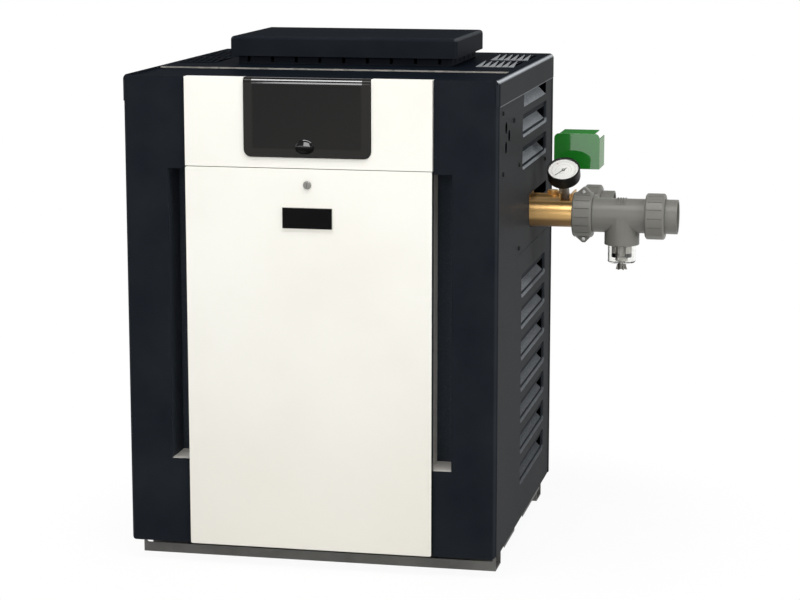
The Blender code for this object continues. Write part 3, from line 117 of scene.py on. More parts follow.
class Sheet:
    # the nodes of one new material, or of a new world
    def __init__(self, name, world=False):
        self.made = (bpy.data.worlds if world else bpy.data.materials).new(name)
        self.made.use_nodes = True
        self.tree = self.made.node_tree
        self.shader = self.tree.nodes["Background" if world else "Principled BSDF"]
        self.coords = self.node("ShaderNodeTexCoord", {}, {}, "Object")

    def node(self, kind, settings, values, out=0):
        new = self.tree.nodes.new(kind)
        for key, value in settings.items():
            setattr(new, key, value)
        for key, value in values.items():
            self.plug(new.inputs[key], value)
        return Sock(self, new.outputs[out])

    def plug(self, socket, value):
        if isinstance(value, Sock):
            self.tree.links.new(value.out, socket)
        else:
            socket.default_value = value

    def set(self, **values):
        for key, value in values.items():
            self.plug(self.shader.inputs[key.replace("_", " ")], value)

    def beside(self, sock):
        # every output of a socket's node, by name
        return {out.name: Sock(self, out) for out in sock.out.node.outputs}

    def split(self, vector):
        return list(self.beside(self.node("ShaderNodeSeparateXYZ", {}, {0: vector})).values())

    def axes(self):
        # cabinet x, y and z of the point
        x, y, z = self.split(self.coords)
        return x - cabinetShift.x, y - cabinetShift.y, z

    def facing(self):
        # the surface direction, as three values
        return self.split(self.beside(self.coords)["Normal"])

    def rays(self):
        # the kinds of ray that may be asking, by name
        return self.beside(self.node("ShaderNodeLightPath", {}, {}))

    def noise(self, scale, detail=2.0, stretch=(1, 1, 1)):
        where = self.coords
        if stretch != (1, 1, 1):
            where = self.node("ShaderNodeMapping", {}, {"Vector": where, "Scale": stretch})
        return self.node("ShaderNodeTexNoise", {}, {"Vector": where, "Scale": scale, "Detail": detail})

    def cells(self, scale):
        return self.node("ShaderNodeTexVoronoi", {}, {"Vector": self.coords, "Scale": scale}, "Color")

    def mix(self, share, first, second):
        return self.node("ShaderNodeMix", {"data_type": "RGBA"}, {0: share, 6: first, 7: second}, 2)

    def bump(self, height, strength, depth):
        return self.node("ShaderNodeBump", {}, {"Height": height, "Strength": strength, "Distance": depth})


# finishes

# painted light: face is the side colour, painted paler than the dark front; the rim and shine colours are painted
# highlights
coat = {"dark": lin(26, 30, 36), "face": lin(54, 55, 56), "fleck": lin(104, 106, 108), "rim": lin(160, 165, 170),
        "highlightShine": lin(196, 201, 206), "rough": 0.42, "roughDrift": 0.12, "ior": 1.025, "peel": 0.10,
        "peelDepth": 0.0004, "fleckScale": 520, "fleckStep": (0.54, 0.70), "fleckShare": 0.42, "speckScale": 330,
        "speckStep": (0.40, 0.62), "cloudScale": 9.0, "cloudShare": 0.10, "cloudBase": 0.03,
        "sideX": (0.3545, 0.3572), "sideY": (0.006, 0.014), "sideLitShare": 0.85, "outward": (0.02, 0.20),
        "lowLight": 0.30, "fullLight": 0.75, "corner": (0.30, 0.50), "cornerHighlightShare": 0.04, "hemHeight": 0.0012,
        "hemHighlightShare": 0.7}


def powderCoat(name, flecks=1.0, rim=0.85, bend=(0.06, 0.42, 0.90, 0.99), edge="rim", hem=0.0, mottle=0.40):
    # bend: the upward leans between which a surface starts and stops being painted with a highlight for the light
    # it catches; rim: how strong that painted highlight is
    s = Sheet(name)
    x, y, z = s.axes()
    nx, ny, nz = s.facing()
    # painted light: the side faces take the paler face colour, and the flecks show only there, for the light the
    # sides catch beside the darker front
    side = abs(x).step(*coat["sideX"]) * y.step(*coat["sideY"])
    grain = s.noise(coat["fleckScale"], 3.0)
    fleck = grain.step(*coat["fleckStep"])
    cloud = s.noise(coat["cloudScale"], 3.0)
    speck = s.noise(coat["speckScale"], 2.0).step(*coat["speckStep"])
    outward = (nx * x.maths("SIGN")).step(*coat["outward"])
    # painted shade: the painted highlights fade towards the bottom, where less light falls
    light = coat["lowLight"] + (1 - coat["lowLight"]) * z.step(0.0, coat["fullLight"])
    # painted highlight: surfaces leaning up and outward, such as rims, bends and louvre vanes, are painted paler
    # and speckled
    bendHighlight = nz.step(*bend[:2]) * (1 - nz.step(*bend[2:])) * outward * light
    # painted highlight: rounded vertical corners are painted a little paler
    corner = (abs(nx) * abs(ny)).step(*coat["corner"]) * coat["cornerHighlightShare"]
    colour = s.mix(side * coat["sideLitShare"], coat["dark"], coat["face"])
    colour = s.mix(fleck * side * flecks * coat["fleckShare"], colour, coat["fleck"])
    colour = s.mix((cloud - 0.5) * coat["cloudShare"] + coat["cloudBase"], colour, coat["fleck"])
    colour = s.mix(corner * rim, colour, coat["rim"])
    colour = s.mix(bendHighlight * rim * ((1 - mottle) + speck * mottle), colour, coat[edge])
    if hem:
        # painted highlight: a pale strip on the side faces just below the hem, for the light along its edge
        below = 1 - z.step(hem, hem + coat["hemHeight"])
        colour = s.mix(side * below * coat["hemHighlightShare"], colour, coat["rim"])
    s.set(Base_Color=colour, Roughness=coat["rough"] + (cloud - 0.5) * coat["roughDrift"], IOR=coat["ior"],
          Normal=s.bump(grain, coat["peel"], coat["peelDepth"]))
    return s.made


shadedDeckTop = {"dark": lin(16, 21, 28), "pale": lin(21, 26, 33), "cloudScale": 7.0, "cloudStep": (0.3, 0.7),
           "cloudShare": 0.5, "fleckStep": (0.6, 0.75), "fleckShare": 0.06, "rough": 0.5, "roughDrift": 0.12,
           "ior": 1.012, "peel": 0.06, "peelDepth": 0.0003}


def deckCoat(name):
    # painted shade: the flat tops are coloured darker than the sides
    s = Sheet(name)
    d = shadedDeckTop
    grain = s.noise(coat["fleckScale"], 3.0)
    cloud = s.noise(d["cloudScale"], 3.0)
    colour = s.mix(cloud.step(*d["cloudStep"]) * d["cloudShare"], d["dark"], d["pale"])
    s.set(Base_Color=s.mix(grain.step(*d["fleckStep"]) * d["fleckShare"], colour, coat["fleck"]), IOR=d["ior"],
          Roughness=d["rough"] + (cloud - 0.5) * d["roughDrift"], Normal=s.bump(grain, d["peel"], d["peelDepth"]))
    return s.made


pocket = {"floor": 0.2044, "inner": 0.2304, "soft": 0.0004, "dark": lin(56, 62, 70), "pale": lin(206, 203, 197),
          "bare": lin(246, 242, 233), "fleckStep": (0.5, 0.7), "fleckShare": 0.2, "rough": 0.5, "roughDrift": 0.1,
          "ior": 1.1}


def pocketCoat(name):
    # the floor and the wall beside the door are pale
    s = Sheet(name)
    p = pocket
    x, _, z = s.axes()
    grain = s.noise(coat["fleckScale"], 3.0)
    floor = 1 - z.step(p["floor"], p["floor"] + p["soft"])
    wall = 1 - abs(x).step(p["inner"], p["inner"] + p["soft"])
    colour = s.mix(grain.step(*p["fleckStep"]) * p["fleckShare"], p["dark"], coat["fleck"])
    colour = s.mix(wall, colour, p["bare"])
    s.set(Base_Color=s.mix(floor, colour, p["pale"]), Roughness=p["rough"] + grain * p["roughDrift"],
          IOR=p["ior"], Normal=s.bump(grain, coat["peel"], coat["peelDepth"]))
    return s.made


enamel = {"white": lin(252, 251, 243), "shade": lin(243, 240, 229), "cloudScale": 3.5, "cloudStep": (0.35, 0.75),
          "cloudShare": 0.55, "foot": lin(226, 222, 211), "footShadeZ": (-0.20, 0.72), "footShadeShare": 0.85,
          "return": lin(38, 38, 37), "returnShadeStep": (0.6, 0.9), "rough": 0.30, "roughDrift": 0.10, "ior": 1.38,
          "peelScale": 420, "peel": 0.05, "peelDepth": 0.0004}


def ivoryEnamel(name, shadedReturns=False):
    # white paint with painted shade, darker towards the foot; the turned side edges may be painted dark as shade
    s = Sheet(name)
    e = enamel
    z = s.axes()[2]
    cloud = s.noise(e["cloudScale"], 3.0)
    peel = s.noise(e["peelScale"], 1.0)
    colour = s.mix(cloud.step(*e["cloudStep"]) * e["cloudShare"], e["white"], e["shade"])
    colour = s.mix((1 - z.step(*e["footShadeZ"])) * e["footShadeShare"], colour, e["foot"])
    # painted shade: the door's side returns are dark, for the shade in the narrow gaps beside them
    if shadedReturns:
        colour = s.mix(abs(s.facing()[0]).step(*e["returnShadeStep"]), colour, e["return"])
    s.set(Base_Color=colour, Roughness=e["rough"] + (cloud - 0.5) * e["roughDrift"], IOR=e["ior"],
          Normal=s.bump(peel, e["peel"], e["peelDepth"]))
    return s.made


zincSheet = {"light": lin(160, 159, 155), "dark": lin(112, 112, 109), "spangle": 70, "spangleShare": 0.6,
             "streak": 60, "stretch": (1, 1, 6), "streakShare": 0.3, "metallic": 0.75, "rough": 0.42,
             "roughDrift": 0.15, "relief": 0.05, "reliefDepth": 0.0005}


def galvanised(name, tint=None, shade=None):
    s = Sheet(name)
    q = zincSheet
    grey = s.node("ShaderNodeRGBToBW", {}, {0: s.cells(q["spangle"])})
    streak = s.noise(q["streak"], 3.0, q["stretch"])
    share = grey * q["spangleShare"] + streak * q["streakShare"]
    s.set(Base_Color=s.mix(share, shade or q["dark"], tint or q["light"]), Metallic=q["metallic"],
          Roughness=q["rough"] + grey * q["roughDrift"], Normal=s.bump(streak, q["relief"], q["reliefDepth"]))
    return s.made


primer = {"light": lin(132, 131, 127), "dark": lin(112, 111, 108), "cloudScale": 14, "cloudStep": (0.3, 0.7),
          "grainScale": 650, "grain": 0.12, "grainDepth": 0.0003, "rough": 0.62, "roughDrift": 0.2}


def basePrimer(name):
    s = Sheet(name)
    p = primer
    cloud = s.noise(p["cloudScale"], 4.0)
    grain = s.noise(p["grainScale"], 2.0)
    s.set(Base_Color=s.mix(cloud.step(*p["cloudStep"]), p["dark"], p["light"]),
          Roughness=p["rough"] + (grain - 0.5) * p["roughDrift"],
          Normal=s.bump(grain, p["grain"], p["grainDepth"]))
    return s.made


plastic = {"flowScale": 22, "pale": 1.30, "lift": 0.004, "dark": 0.82, "roughDrift": 0.12, "skinDepth": 0.0003}


def moulded(name, colour, rough=0.42, ior=1.4, drift=0.10, grainScale=900, grain=0.05):
    # plain moulded plastic with a faint flow pattern and a fine skin
    s = Sheet(name)
    flow = s.noise(plastic["flowScale"], 3.0)
    skin = s.noise(grainScale, 2.0)
    paler = tuple(min(1.0, v * plastic["pale"] + plastic["lift"]) for v in colour[:3]) + (1.0,)
    darker = tuple(v * plastic["dark"] for v in colour[:3]) + (1.0,)
    share = flow.step(0.0, 1.0) * (drift * 4) + (0.5 - drift * 2)
    s.set(Base_Color=s.mix(share, darker, paler), Roughness=rough + (flow - 0.5) * plastic["roughDrift"], IOR=ior,
          Normal=s.bump(skin, grain, plastic["skinDepth"]))
    return s.made


plating = {"cloudScale": 18, "cloudStep": (0.25, 0.75), "dark": 0.70, "roughDrift": 0.18, "depth": 0.0003}


def metal(name, colour, rough=0.3, brushed=(1, 1, 1), scale=300, grain=0.06):
    # bare or plated metal, brushed along one axis where that is given
    s = Sheet(name)
    streak = s.noise(scale, 3.0, brushed)
    cloud = s.noise(plating["cloudScale"], 3.0)
    darker = tuple(v * plating["dark"] for v in colour[:3]) + (1.0,)
    s.set(Base_Color=s.mix(cloud.step(*plating["cloudStep"]), darker, colour), Metallic=1.0,
          Roughness=rough + (streak - 0.5) * plating["roughDrift"], Normal=s.bump(streak, grain, plating["depth"]))
    return s.made


cover = {"inner": lin(17, 16, 15), "border": lin(33, 32, 30), "halfWidth": 0.1050, "low": 0.8085, "soft": 0.0035,
         "hazeScale": 7, "hazeShare": 0.1, "reflectionX": 0.6, "reflectionZ": 0.86, "reflectionSoft": 0.10, "reflectionShare": 0.35,
         "rough": 0.10, "roughDrift": 0.02, "ior": 1.30, "roll": 0.9265, "rollLean": 0.03}


def smokedCover(name):
    # dark see-through look: the paler border is the turned edge behind the skin
    s = Sheet(name)
    c = cover
    x, _, z = s.axes()
    haze = s.noise(c["hazeScale"], 2.0)
    across = abs(x).step(c["halfWidth"] - c["soft"], c["halfWidth"])
    below = 1 - z.step(c["low"] - c["soft"], c["low"])
    rim = across.maths("MAXIMUM", below)
    # painted reflection: the window is painted paler below and to the right of a diagonal
    paintedReflection = (x * c["reflectionX"] - (z - c["reflectionZ"])).step(-c["reflectionSoft"], c["reflectionSoft"])
    colour = s.mix(paintedReflection * c["reflectionShare"] + (haze - 0.5) * c["hazeShare"], c["inner"], c["border"])
    s.set(Base_Color=s.mix(rim, colour, c["border"]), Roughness=c["rough"] + (haze - 0.5) * c["roughDrift"],
          IOR=c["ior"])
    return s.made


castBronze = {"bright": lin(246, 202, 134), "dull": lin(236, 188, 118), "stainAndShade": lin(138, 108, 73),
              "cloudScale": 26, "cloudStep": (0.3, 0.7), "cloudShare": 0.6, "pitScale": 420,
              "pitStep": (0.58, 0.74), "pitShare": 0.35, "flat": (0.965, 0.995), "flatShare": 0.22,
              "under": (0.14, 0.46), "underShare": 0.9, "shoulder": (0.74, 0.86, 0.90, 0.965),
              "shoulderShare": 0.55, "metallic": 0.78, "flatDull": 0.40, "rough": 0.37, "flatRough": 0.12,
              "pitRough": 0.08, "relief": 0.012, "flatRelief": 0.06, "reliefDepth": 0.0004}


def bronze(name):
    # cast bronze with rougher, darker, pitted flat tops; painted shade below and along the shoulders
    s = Sheet(name)
    b = castBronze
    nz = s.facing()[2]
    pits = s.noise(b["pitScale"], 3.0)
    cloud = s.noise(b["cloudScale"], 3.0)
    flat = nz.step(*b["flat"])
    # painted shade: downward faces and the shoulders just below the flat tops are darkened
    under = (0 - nz).step(*b["under"])
    shoulder = nz.step(*b["shoulder"][:2]) * (1 - nz.step(*b["shoulder"][2:]))
    stainAndShade = under * b["underShare"] + shoulder * b["shoulderShare"] + flat * b["flatShare"]
    colour = s.mix(cloud.step(*b["cloudStep"]) * b["cloudShare"], b["bright"], b["dull"])
    colour = s.mix(stainAndShade, colour, b["stainAndShade"])
    colour = s.mix(pits.step(*b["pitStep"]) * b["pitShare"] * flat, colour, b["stainAndShade"])
    s.set(Base_Color=colour, Metallic=b["metallic"] - flat * b["flatDull"],
          Roughness=b["rough"] + flat * b["flatRough"] + (pits - 0.5) * b["pitRough"],
          Normal=s.bump(pits, b["relief"] + flat * b["flatRelief"], b["reliefDepth"]))
    return s.made


clearCup = {"tint": lin(255, 255, 254), "warm": lin(250, 250, 247), "flowScale": 30, "rough": 0.02,
            "roughDrift": 0.03, "ior": 1.42}


def clearPlastic(name):
    s = Sheet(name)
    c = clearCup
    flow = s.noise(c["flowScale"], 2.0)
    s.set(Base_Color=s.mix(flow, c["tint"], c["warm"]), Roughness=c["rough"] + flow * c["roughDrift"],
          IOR=c["ior"], Transmission_Weight=1.0)
    return s.made


greenGuard = {"front": [(0.010, 0.185, 0.015), (0.018, 0.215, 0.022), 2.1],
              "top": [(0.012, 0.185, 0.018), (0.020, 0.215, 0.026), 1.005],
              # painted reflection: the edge part is much paler, for what the guard's right-facing edge reflects
              "edge": [(0.110, 0.275, 0.090), (0.150, 0.310, 0.125), 1.05],
              "flowScale": 16, "rough": 0.03, "roughDrift": 0.02, "ripple": 0.02, "rippleDepth": 0.0006}


def guardPlastic(name, part):
    # each part has its deep colour, its thin colour and its gloss
    s = Sheet(name)
    g = greenGuard
    flow = s.noise(g["flowScale"], 2.0)
    deep, thin, ior = g[part]
    s.set(Base_Color=s.mix(flow, deep + (1.0,), thin + (1.0,)), IOR=ior,
          Roughness=g["rough"] + flow * g["roughDrift"], Normal=s.bump(flow, g["ripple"], g["rippleDepth"]))
    return s.made


gauge = {"centre": (0.421, 0.4121, 0.7281), "lean": math.radians(37.6), "white": lin(255, 254, 249),
         "paper": lin(226, 224, 218), "paperScale": 240, "paperShare": 0.06, "rough": 0.45, "roughDrift": 0.1,
         "ink": lin(120, 118, 114), "red": lin(214, 70, 66), "sweep": 135, "tickTurns": 40, "tickHalf": 0.000052,
         "scaleRadius": 0.0232, "scaleHalf": 0.0013, "scaleInk": 0.55, "ringHalf": 0.00022, "ringShare": 0.7,
         "innerRadius": 0.0158, "innerHalf": 0.0005, "innerSweep": 118, "innerInk": 0.32,
         "lowRadius": 0.0105, "lowHalf": 0.0003, "lowFrom": 60, "lowInk": 0.28,
         "redTurn": -38, "redReach": 2.6, "redRadius": 0.0222, "redHalf": 0.0016, "redShare": 0.85}


def dialFace(name):
    # plain scale lines: 0 degrees is up, 90 to the right
    s = Sheet(name)
    g = gauge
    local = s.node("ShaderNodeVectorMath", {"operation": "SUBTRACT"}, {0: s.coords, 1: cab(*g["centre"])})
    upAxis = (0, math.cos(g["lean"]), math.sin(g["lean"]))
    u, v = [s.node("ShaderNodeVectorMath", {"operation": "DOT_PRODUCT"}, {0: local, 1: axis}, "Value")
            for axis in ((1, 0, 0), upAxis)]
    r = (u * u + v * v).maths("SQRT")
    turn = u.maths("ARCTAN2", v) * (180 / math.pi)
    inSweep = abs(turn) < g["sweep"]
    phase = (turn / 360 * g["tickTurns"] + 0.5).maths("FRACT")
    fine = (abs(phase - 0.5) * r < g["tickHalf"] * g["tickTurns"]) * inSweep
    band = abs(r - g["scaleRadius"]) < g["scaleHalf"]
    ring = (abs(r - g["scaleRadius"] - g["scaleHalf"]) < g["ringHalf"]) * inSweep
    innerRing = (abs(r - g["innerRadius"]) < g["innerHalf"]) * (abs(turn) < g["innerSweep"])
    lowRing = (abs(r - g["lowRadius"]) < g["lowHalf"]) * (abs(turn) > g["lowFrom"])
    redMark = (abs(turn - g["redTurn"]) < g["redReach"]) * (abs(r - g["redRadius"]) < g["redHalf"])
    paper = s.noise(g["paperScale"], 2.0)
    scale = (fine * band + ring * g["ringShare"]).maths("MINIMUM", 1.0)
    colour = s.mix(paper * g["paperShare"], g["white"], g["paper"])
    colour = s.mix(scale * g["scaleInk"], colour, g["ink"])
    colour = s.mix(innerRing * g["innerInk"] + lowRing * g["lowInk"], colour, g["ink"])
    colour = s.mix(redMark * g["redShare"], colour, g["red"])
    s.set(Base_Color=colour, Roughness=g["rough"] + paper * g["roughDrift"])
    return s.made


lens = {"colour": lin(245, 246, 246), "smearScale": 45, "rough": 0.03, "roughDrift": 0.03, "alpha": 0.012,
        "alphaDrift": 0.02}


def emptyGlass(name):
    s = Sheet(name)
    smear = s.noise(lens["smearScale"], 2.0)
    s.set(Base_Color=lens["colour"], Roughness=lens["rough"] + smear * lens["roughDrift"],
          Alpha=lens["alpha"] + smear * lens["alphaDrift"])
    return s.made


looks = {
    "powder": powderCoat("powderCoat"),
    "powderSmooth": powderCoat("powderCoatSmooth", flecks=0.35, rim=0.14),
    "powderFlat": powderCoat("powderCoatFlat", rim=0.10),
    # the cap: a strong painted highlight along its rolled rim, and a painted pale strip under its hem
    "capCoat": powderCoat("capCoat", flecks=0.5, rim=0.9, bend=(0.10, 0.62, 0.66, 0.97), edge="highlightShine",
                          hem=0.8895, mottle=0.10),
    # painted highlight: a pale coat for the grille fins on the right, for the light they catch
    "litFinCoat": moulded("litFinCoat", lin(126, 129, 132), rough=0.5, ior=1.1),
    "deck": deckCoat("deckCoat"),
    "shade": moulded("shadedSheet", lin(7, 8, 10), rough=0.6, ior=1.02, drift=0.06),
    # painted highlight along the front of the step in the cap, in a pale galvanised finish
    "riserHighlight": galvanised("deckRiserHighlight", tint=lin(214, 208, 198)),
    "pocket": pocketCoat("pocketCoat"),
    "ivory": ivoryEnamel("ivoryEnamel"),
    "doorIvory": ivoryEnamel("doorEnamel", shadedReturns=True),
    "galvanised": galvanised("galvanisedSheet"),
    "panZinc": galvanised("agedZinc", tint=lin(84, 84, 82), shade=lin(52, 52, 51)),
    "primer": basePrimer("basePrimer"),
    "smoked": smokedCover("smokedCover"),
    "blackPlastic": moulded("blackPlastic", lin(27, 27, 25), rough=0.34, drift=0.06),
    "keyRubber": moulded("keyRubber", lin(150, 152, 154), rough=0.55, drift=0.06),
    "display": moulded("displayWindow", lin(126, 138, 120), rough=0.10, ior=1.45, drift=0.05),
    "board": moulded("circuitBoard", lin(38, 98, 60), rough=0.40, drift=0.12),
    "laminations": metal("laminations", lin(128, 128, 130), rough=0.45, brushed=(1, 40, 1), scale=60, grain=0.2),
    "steel": metal("platedSteel", lin(206, 206, 204), rough=0.22, scale=500, grain=0.05),
    "stemSteel": moulded("stemSteel", lin(172, 170, 166), rough=0.26, ior=1.8, drift=0.06),
    "refractory": moulded("refractoryBoard", lin(222, 217, 206), rough=0.90, ior=1.2, drift=0.14, grainScale=160,
                          grain=0.35),
    "copper": metal("copperTube", lin(214, 150, 112), rough=0.32, scale=200, grain=0.08),
    "bronze": bronze("castBronze"),
    "greyPvc": moulded("greyFitting", lin(117, 116, 110), rough=0.40, drift=0.04, grainScale=700, grain=0.04),
    "clear": clearPlastic("clearCup"),
    "lockSteel": metal("lockSteel", lin(150, 149, 144), rough=0.34, scale=600, grain=0.05),
    "blackHead": moulded("blackScrewHead", lin(40, 41, 42), rough=0.55, ior=1.1),
    "paleRod": moulded("paleRod", lin(204, 202, 195), rough=0.45),
    "wingMetal": metal("wingMetal", lin(136, 134, 128), rough=0.36, scale=400, grain=0.08),
    "caseBlack": moulded("caseBlack", lin(25, 25, 24), rough=0.36, ior=1.22, drift=0.06),
    "smokedTop": moulded("smokedTop", lin(8, 8, 7), rough=0.09, ior=2.1, drift=0.03, grainScale=300, grain=0.0),
    "gripBlack": moulded("gripBlack", lin(3, 3, 3), rough=0.05, ior=1.9, drift=0.03, grainScale=300, grain=0.0),
    "gripScoop": moulded("gripScoop", lin(15, 15, 14), rough=0.20, ior=1.12, drift=0.03, grainScale=300,
                         grain=0.0),
    "zinc": metal("zincCasting", lin(178, 178, 174), rough=0.50, scale=260, grain=0.15),
    "darkMetal": metal("darkMetal", lin(58, 57, 55), rough=0.42, grain=0.1),
    "rubber": moulded("sealRubber", lin(30, 30, 30), rough=0.75, ior=1.3, drift=0.08),
    "dial": dialFace("dialFace"),
    "needle": moulded("needleGrey", lin(96, 95, 92), rough=0.45),
    "glass": emptyGlass("gaugeGlass"),
    "green": guardPlastic("greenGuard", "front"),
    "greenTop": guardPlastic("greenGuardTop", "top"),
    "greenEdgeReflection": guardPlastic("greenGuardEdgeReflection", "edge"),
    "red": moulded("redKnob", lin(188, 46, 38), rough=0.35),
}
print("finishes made:", len(looks))


# dressing the CAD nodes: a merged copy with softened edges stands for each one

dressing = {"flat": 0.6, "rings": 2, "limit": 32, "speck": 1e-6, "shade": 36}  # angles in degrees


def pick(piece):
    bpy.ops.object.select_all(action="DESELECT")
    piece.select_set(True)
    bpy.context.view_layer.objects.active = piece


def soften(piece, edge, rings=dressing["rings"], limit=dressing["limit"]):
    # round every sharp edge of the picked piece
    bevel = piece.modifiers.new("edge", "BEVEL")
    bevel.width = edge
    bevel.segments = rings
    bevel.limit_method = "ANGLE"
    bevel.angle_limit = math.radians(limit)
    bevel.use_clamp_overlap = True
    bpy.ops.object.modifier_apply(modifier=bevel.name)
    bpy.ops.object.mode_set(mode="EDIT")
    bpy.ops.mesh.select_all(action="SELECT")
    bpy.ops.mesh.dissolve_degenerate(threshold=dressing["speck"])
    bpy.ops.object.mode_set(mode="OBJECT")


def settle(piece, finish):
    # smooth shading that keeps flat faces flat
    bpy.ops.object.shade_smooth_by_angle(angle=math.radians(dressing["shade"]))
    weigh = piece.modifiers.new("weigh", "WEIGHTED_NORMAL")
    weigh.keep_sharp = True
    bpy.ops.object.modifier_apply(modifier=weigh.name)
    piece.data.materials.clear()
    piece.data.materials.append(finish)


def cutAcross(places, normal):
    # in edit mode: new edges where a plane through each place crosses the piece
    for place in places:
        bpy.ops.mesh.select_all(action="SELECT")
        bpy.ops.mesh.bisect(plane_co=place, plane_no=normal)


def splitCover():
    # edges where the ends of the cover's roll begin
    cutAcross([cab(x, 0, 0) for x in (-cover["halfWidth"], cover["halfWidth"])], (1, 0, 0))


rimEnd = {"half": 0.3590, "top": 0.9390, "sheet": 0.0012, "radius": 0.0090, "corner": 0.0115, "turn": 0.0100,
          "rollLow": -0.0004, "skirtLow": -0.0006, "rings": [0.0100, 0.0082, 0.0062, 0.0042]}


def roundRimEnds():
    # the rolled rim of the cap turns round the front corners
    r = rimEnd
    cutAcross([cab(0, y, 0) for y in r["rings"]], (0, 1, 0))
    piece = bpy.context.active_object
    bm = bmesh.from_edit_mesh(piece.data)
    axisX, axisZ = r["half"] - r["radius"], r["top"] - r["radius"]
    for vert in bm.verts:
        p = vert.co - cabinetShift
        out, up = abs(p.x) - axisX, p.z - axisZ
        skirt = min(abs(out - r["radius"]), abs(out - r["radius"] + r["sheet"])) < samePoint
        onRim = up > r["rollLow"] or up > r["skirtLow"] and skirt
        if p.y < r["turn"] - samePoint and out > -samePoint and onRim:
            share = math.sqrt(1 - ((r["turn"] - p.y) / r["corner"]) ** 2)
            p.x = math.copysign(axisX + out * (1 - (1 - share) * r["corner"] / r["radius"]), p.x)
            vert.co = p + cabinetShift
    bmesh.update_edit_mesh(piece.data)


foot = {"low": 0.0380, "half": 0.3575, "bend": 0.0100, "radius": 0.0080,
        "rings": [0.0115, 0.0135, 0.0155, 0.0180]}


def roundFeet():
    # the lower front corner of each side panel is cut round
    f = foot
    cutAcross([cab(0, y, 0) for y in f["rings"]], (0, 1, 0))
    piece = bpy.context.active_object
    bm = bmesh.from_edit_mesh(piece.data)
    for vert in bm.verts:
        p = vert.co - cabinetShift
        out = abs(p.x) - f["half"] + f["bend"]
        if p.z > f["low"] + samePoint or out < samePoint:
            continue
        if p.y < f["bend"]:
            past = f["radius"] - f["bend"] * (1 - math.sin(math.atan2(out, f["bend"] - p.y)))
        else:
            past = f["radius"] - p.y + f["bend"]
        past = min(max(past, 0.0), f["radius"])
        vert.co.z += f["radius"] - math.sqrt(f["radius"] ** 2 - past ** 2)
    bmesh.update_edit_mesh(piece.data)


shapes = {"flip_cover": splitCover, "top_panel": roundRimEnds, "left_side_panel": roundFeet,
          "right_side_panel": roundFeet}


def dress(node, look, edge):
    piece = bpy.data.objects.new(node + "Skin", nodes[node].data.copy())
    bpy.context.scene.collection.objects.link(piece)
    pick(piece)
    bpy.ops.object.mode_set(mode="EDIT")
    bpy.ops.mesh.select_all(action="SELECT")
    bpy.ops.mesh.remove_doubles(threshold=samePoint)
    bpy.ops.mesh.dissolve_limited(angle_limit=math.radians(dressing["flat"]))
    if node in shapes:
        shapes[node]()
    bpy.ops.object.mode_set(mode="OBJECT")
    if edge:
        soften(piece, edge)
    settle(piece, looks[look])
    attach(piece, bodyOf[node])
    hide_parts(node)


# the finish and the edge rounding of each node
skins = {
    "left_side_panel": ("powder", 0.0004), "right_side_panel": ("powder", 0.0004),
    "header_access_panel": ("powderFlat", 0.0004), "rear_panel": ("powder", 0.0004),
    "top_panel": ("capCoat", 0.0004), "vent_collar": ("powderSmooth", 0.0004),
    "vent_hood": ("powderSmooth", 0.0004), "left_slot_pocket": ("pocket", 0.0004),
    "right_slot_pocket": ("pocket", 0.0004), "upper_fascia": ("ivory", 0.0005),
    "front_door": ("doorIvory", 0.0005), "base_pan": ("panZinc", 0.0003),
    "front_base_channel": ("primer", 0.0005), "rear_base_channel": ("primer", 0.0005),
    "control_shelf": ("galvanised", 0.0003), "door_lock": ("lockSteel", 0.0003),
    "lock_cam": ("galvanised", 0.0003), "flip_cover": ("smoked", 0.0007), "flip_cover_pin": ("steel", 0),
    "control_bezel": ("blackPlastic", 0.0004),
    "display_window": ("display", 0.0003), "key_menu": ("keyRubber", 0.0008), "key_down": ("keyRubber", 0.0008),
    "key_up": ("keyRubber", 0.0008), "key_mode": ("keyRubber", 0.0008), "control_board": ("board", 0.0003),
    "transformer": ("laminations", 0.0005), "combustion_chamber": ("refractory", 0.002),
    "burner_rack": ("galvanised", 0), "gas_manifold": ("darkMetal", 0), "gas_valve": ("zinc", 0.0010),
    "gas_valve_knob": ("red", 0.0002), "gas_inlet_pipe": ("darkMetal", 0.0005), "igniter": ("refractory", 0.0004),
    "heat_exchanger": ("copper", 0), "return_header": ("bronze", 0.002), "inlet_outlet_header": ("bronze", 0.0008),
    "flue_collector": ("darkMetal", 0), "high_limit_switch": ("steel", 0.0004), "water_sensor": ("bronze", 0.0004),
    "pressure_switch": ("blackPlastic", 0.0005), "clamp_front_half": ("greyPvc", 0.0005),
    "clamp_rear_half": ("greyPvc", 0.0005), "anode_tee": ("greyPvc", 0.0006), "anode_cap": ("clear", 0.0005),
    "anode_rod": ("paleRod", 0.0004), "anode_wing_nut": ("wingMetal", 0.0003),
    "outlet_union_nut": ("greyPvc", 0.0005), "outlet_tailpiece": ("greyPvc", 0.0005),
    "inlet_union_nut": ("greyPvc", 0.0005), "inlet_tailpiece": ("greyPvc", 0.0005),
    "outlet_union_seal": ("rubber", 0.0004), "inlet_union_seal": ("rubber", 0.0004),
    "gauge_case": ("caseBlack", 0.0006), "gauge_stem": ("stemSteel", 0.0004), "gauge_dial": ("dial", 0),
    "gauge_pointer": ("needle", 0), "gauge_lens": ("glass", 0), "splash_guard": ("green", 0.0004),
    "guard_bracket": ("steel", 0.0004),
}
for nodeName, (lookName, edgeWidth) in skins.items():
    dress(nodeName, lookName, edgeWidth)


# second finishes on some faces of a piece

def recolour(piece, finish, test):
    piece.data.materials.append(finish)
    for face in piece.data.polygons:
        if test(face):
            face.material_index = len(piece.data.materials) - 1


deckFaces = {"flat": 0.97, "riserY": 0.198, "riserReach": 0.002}


# faces of the flat tops, which take the darker deck coat as painted shade
def onDeck(face):
    return face.normal.z > deckFaces["flat"]


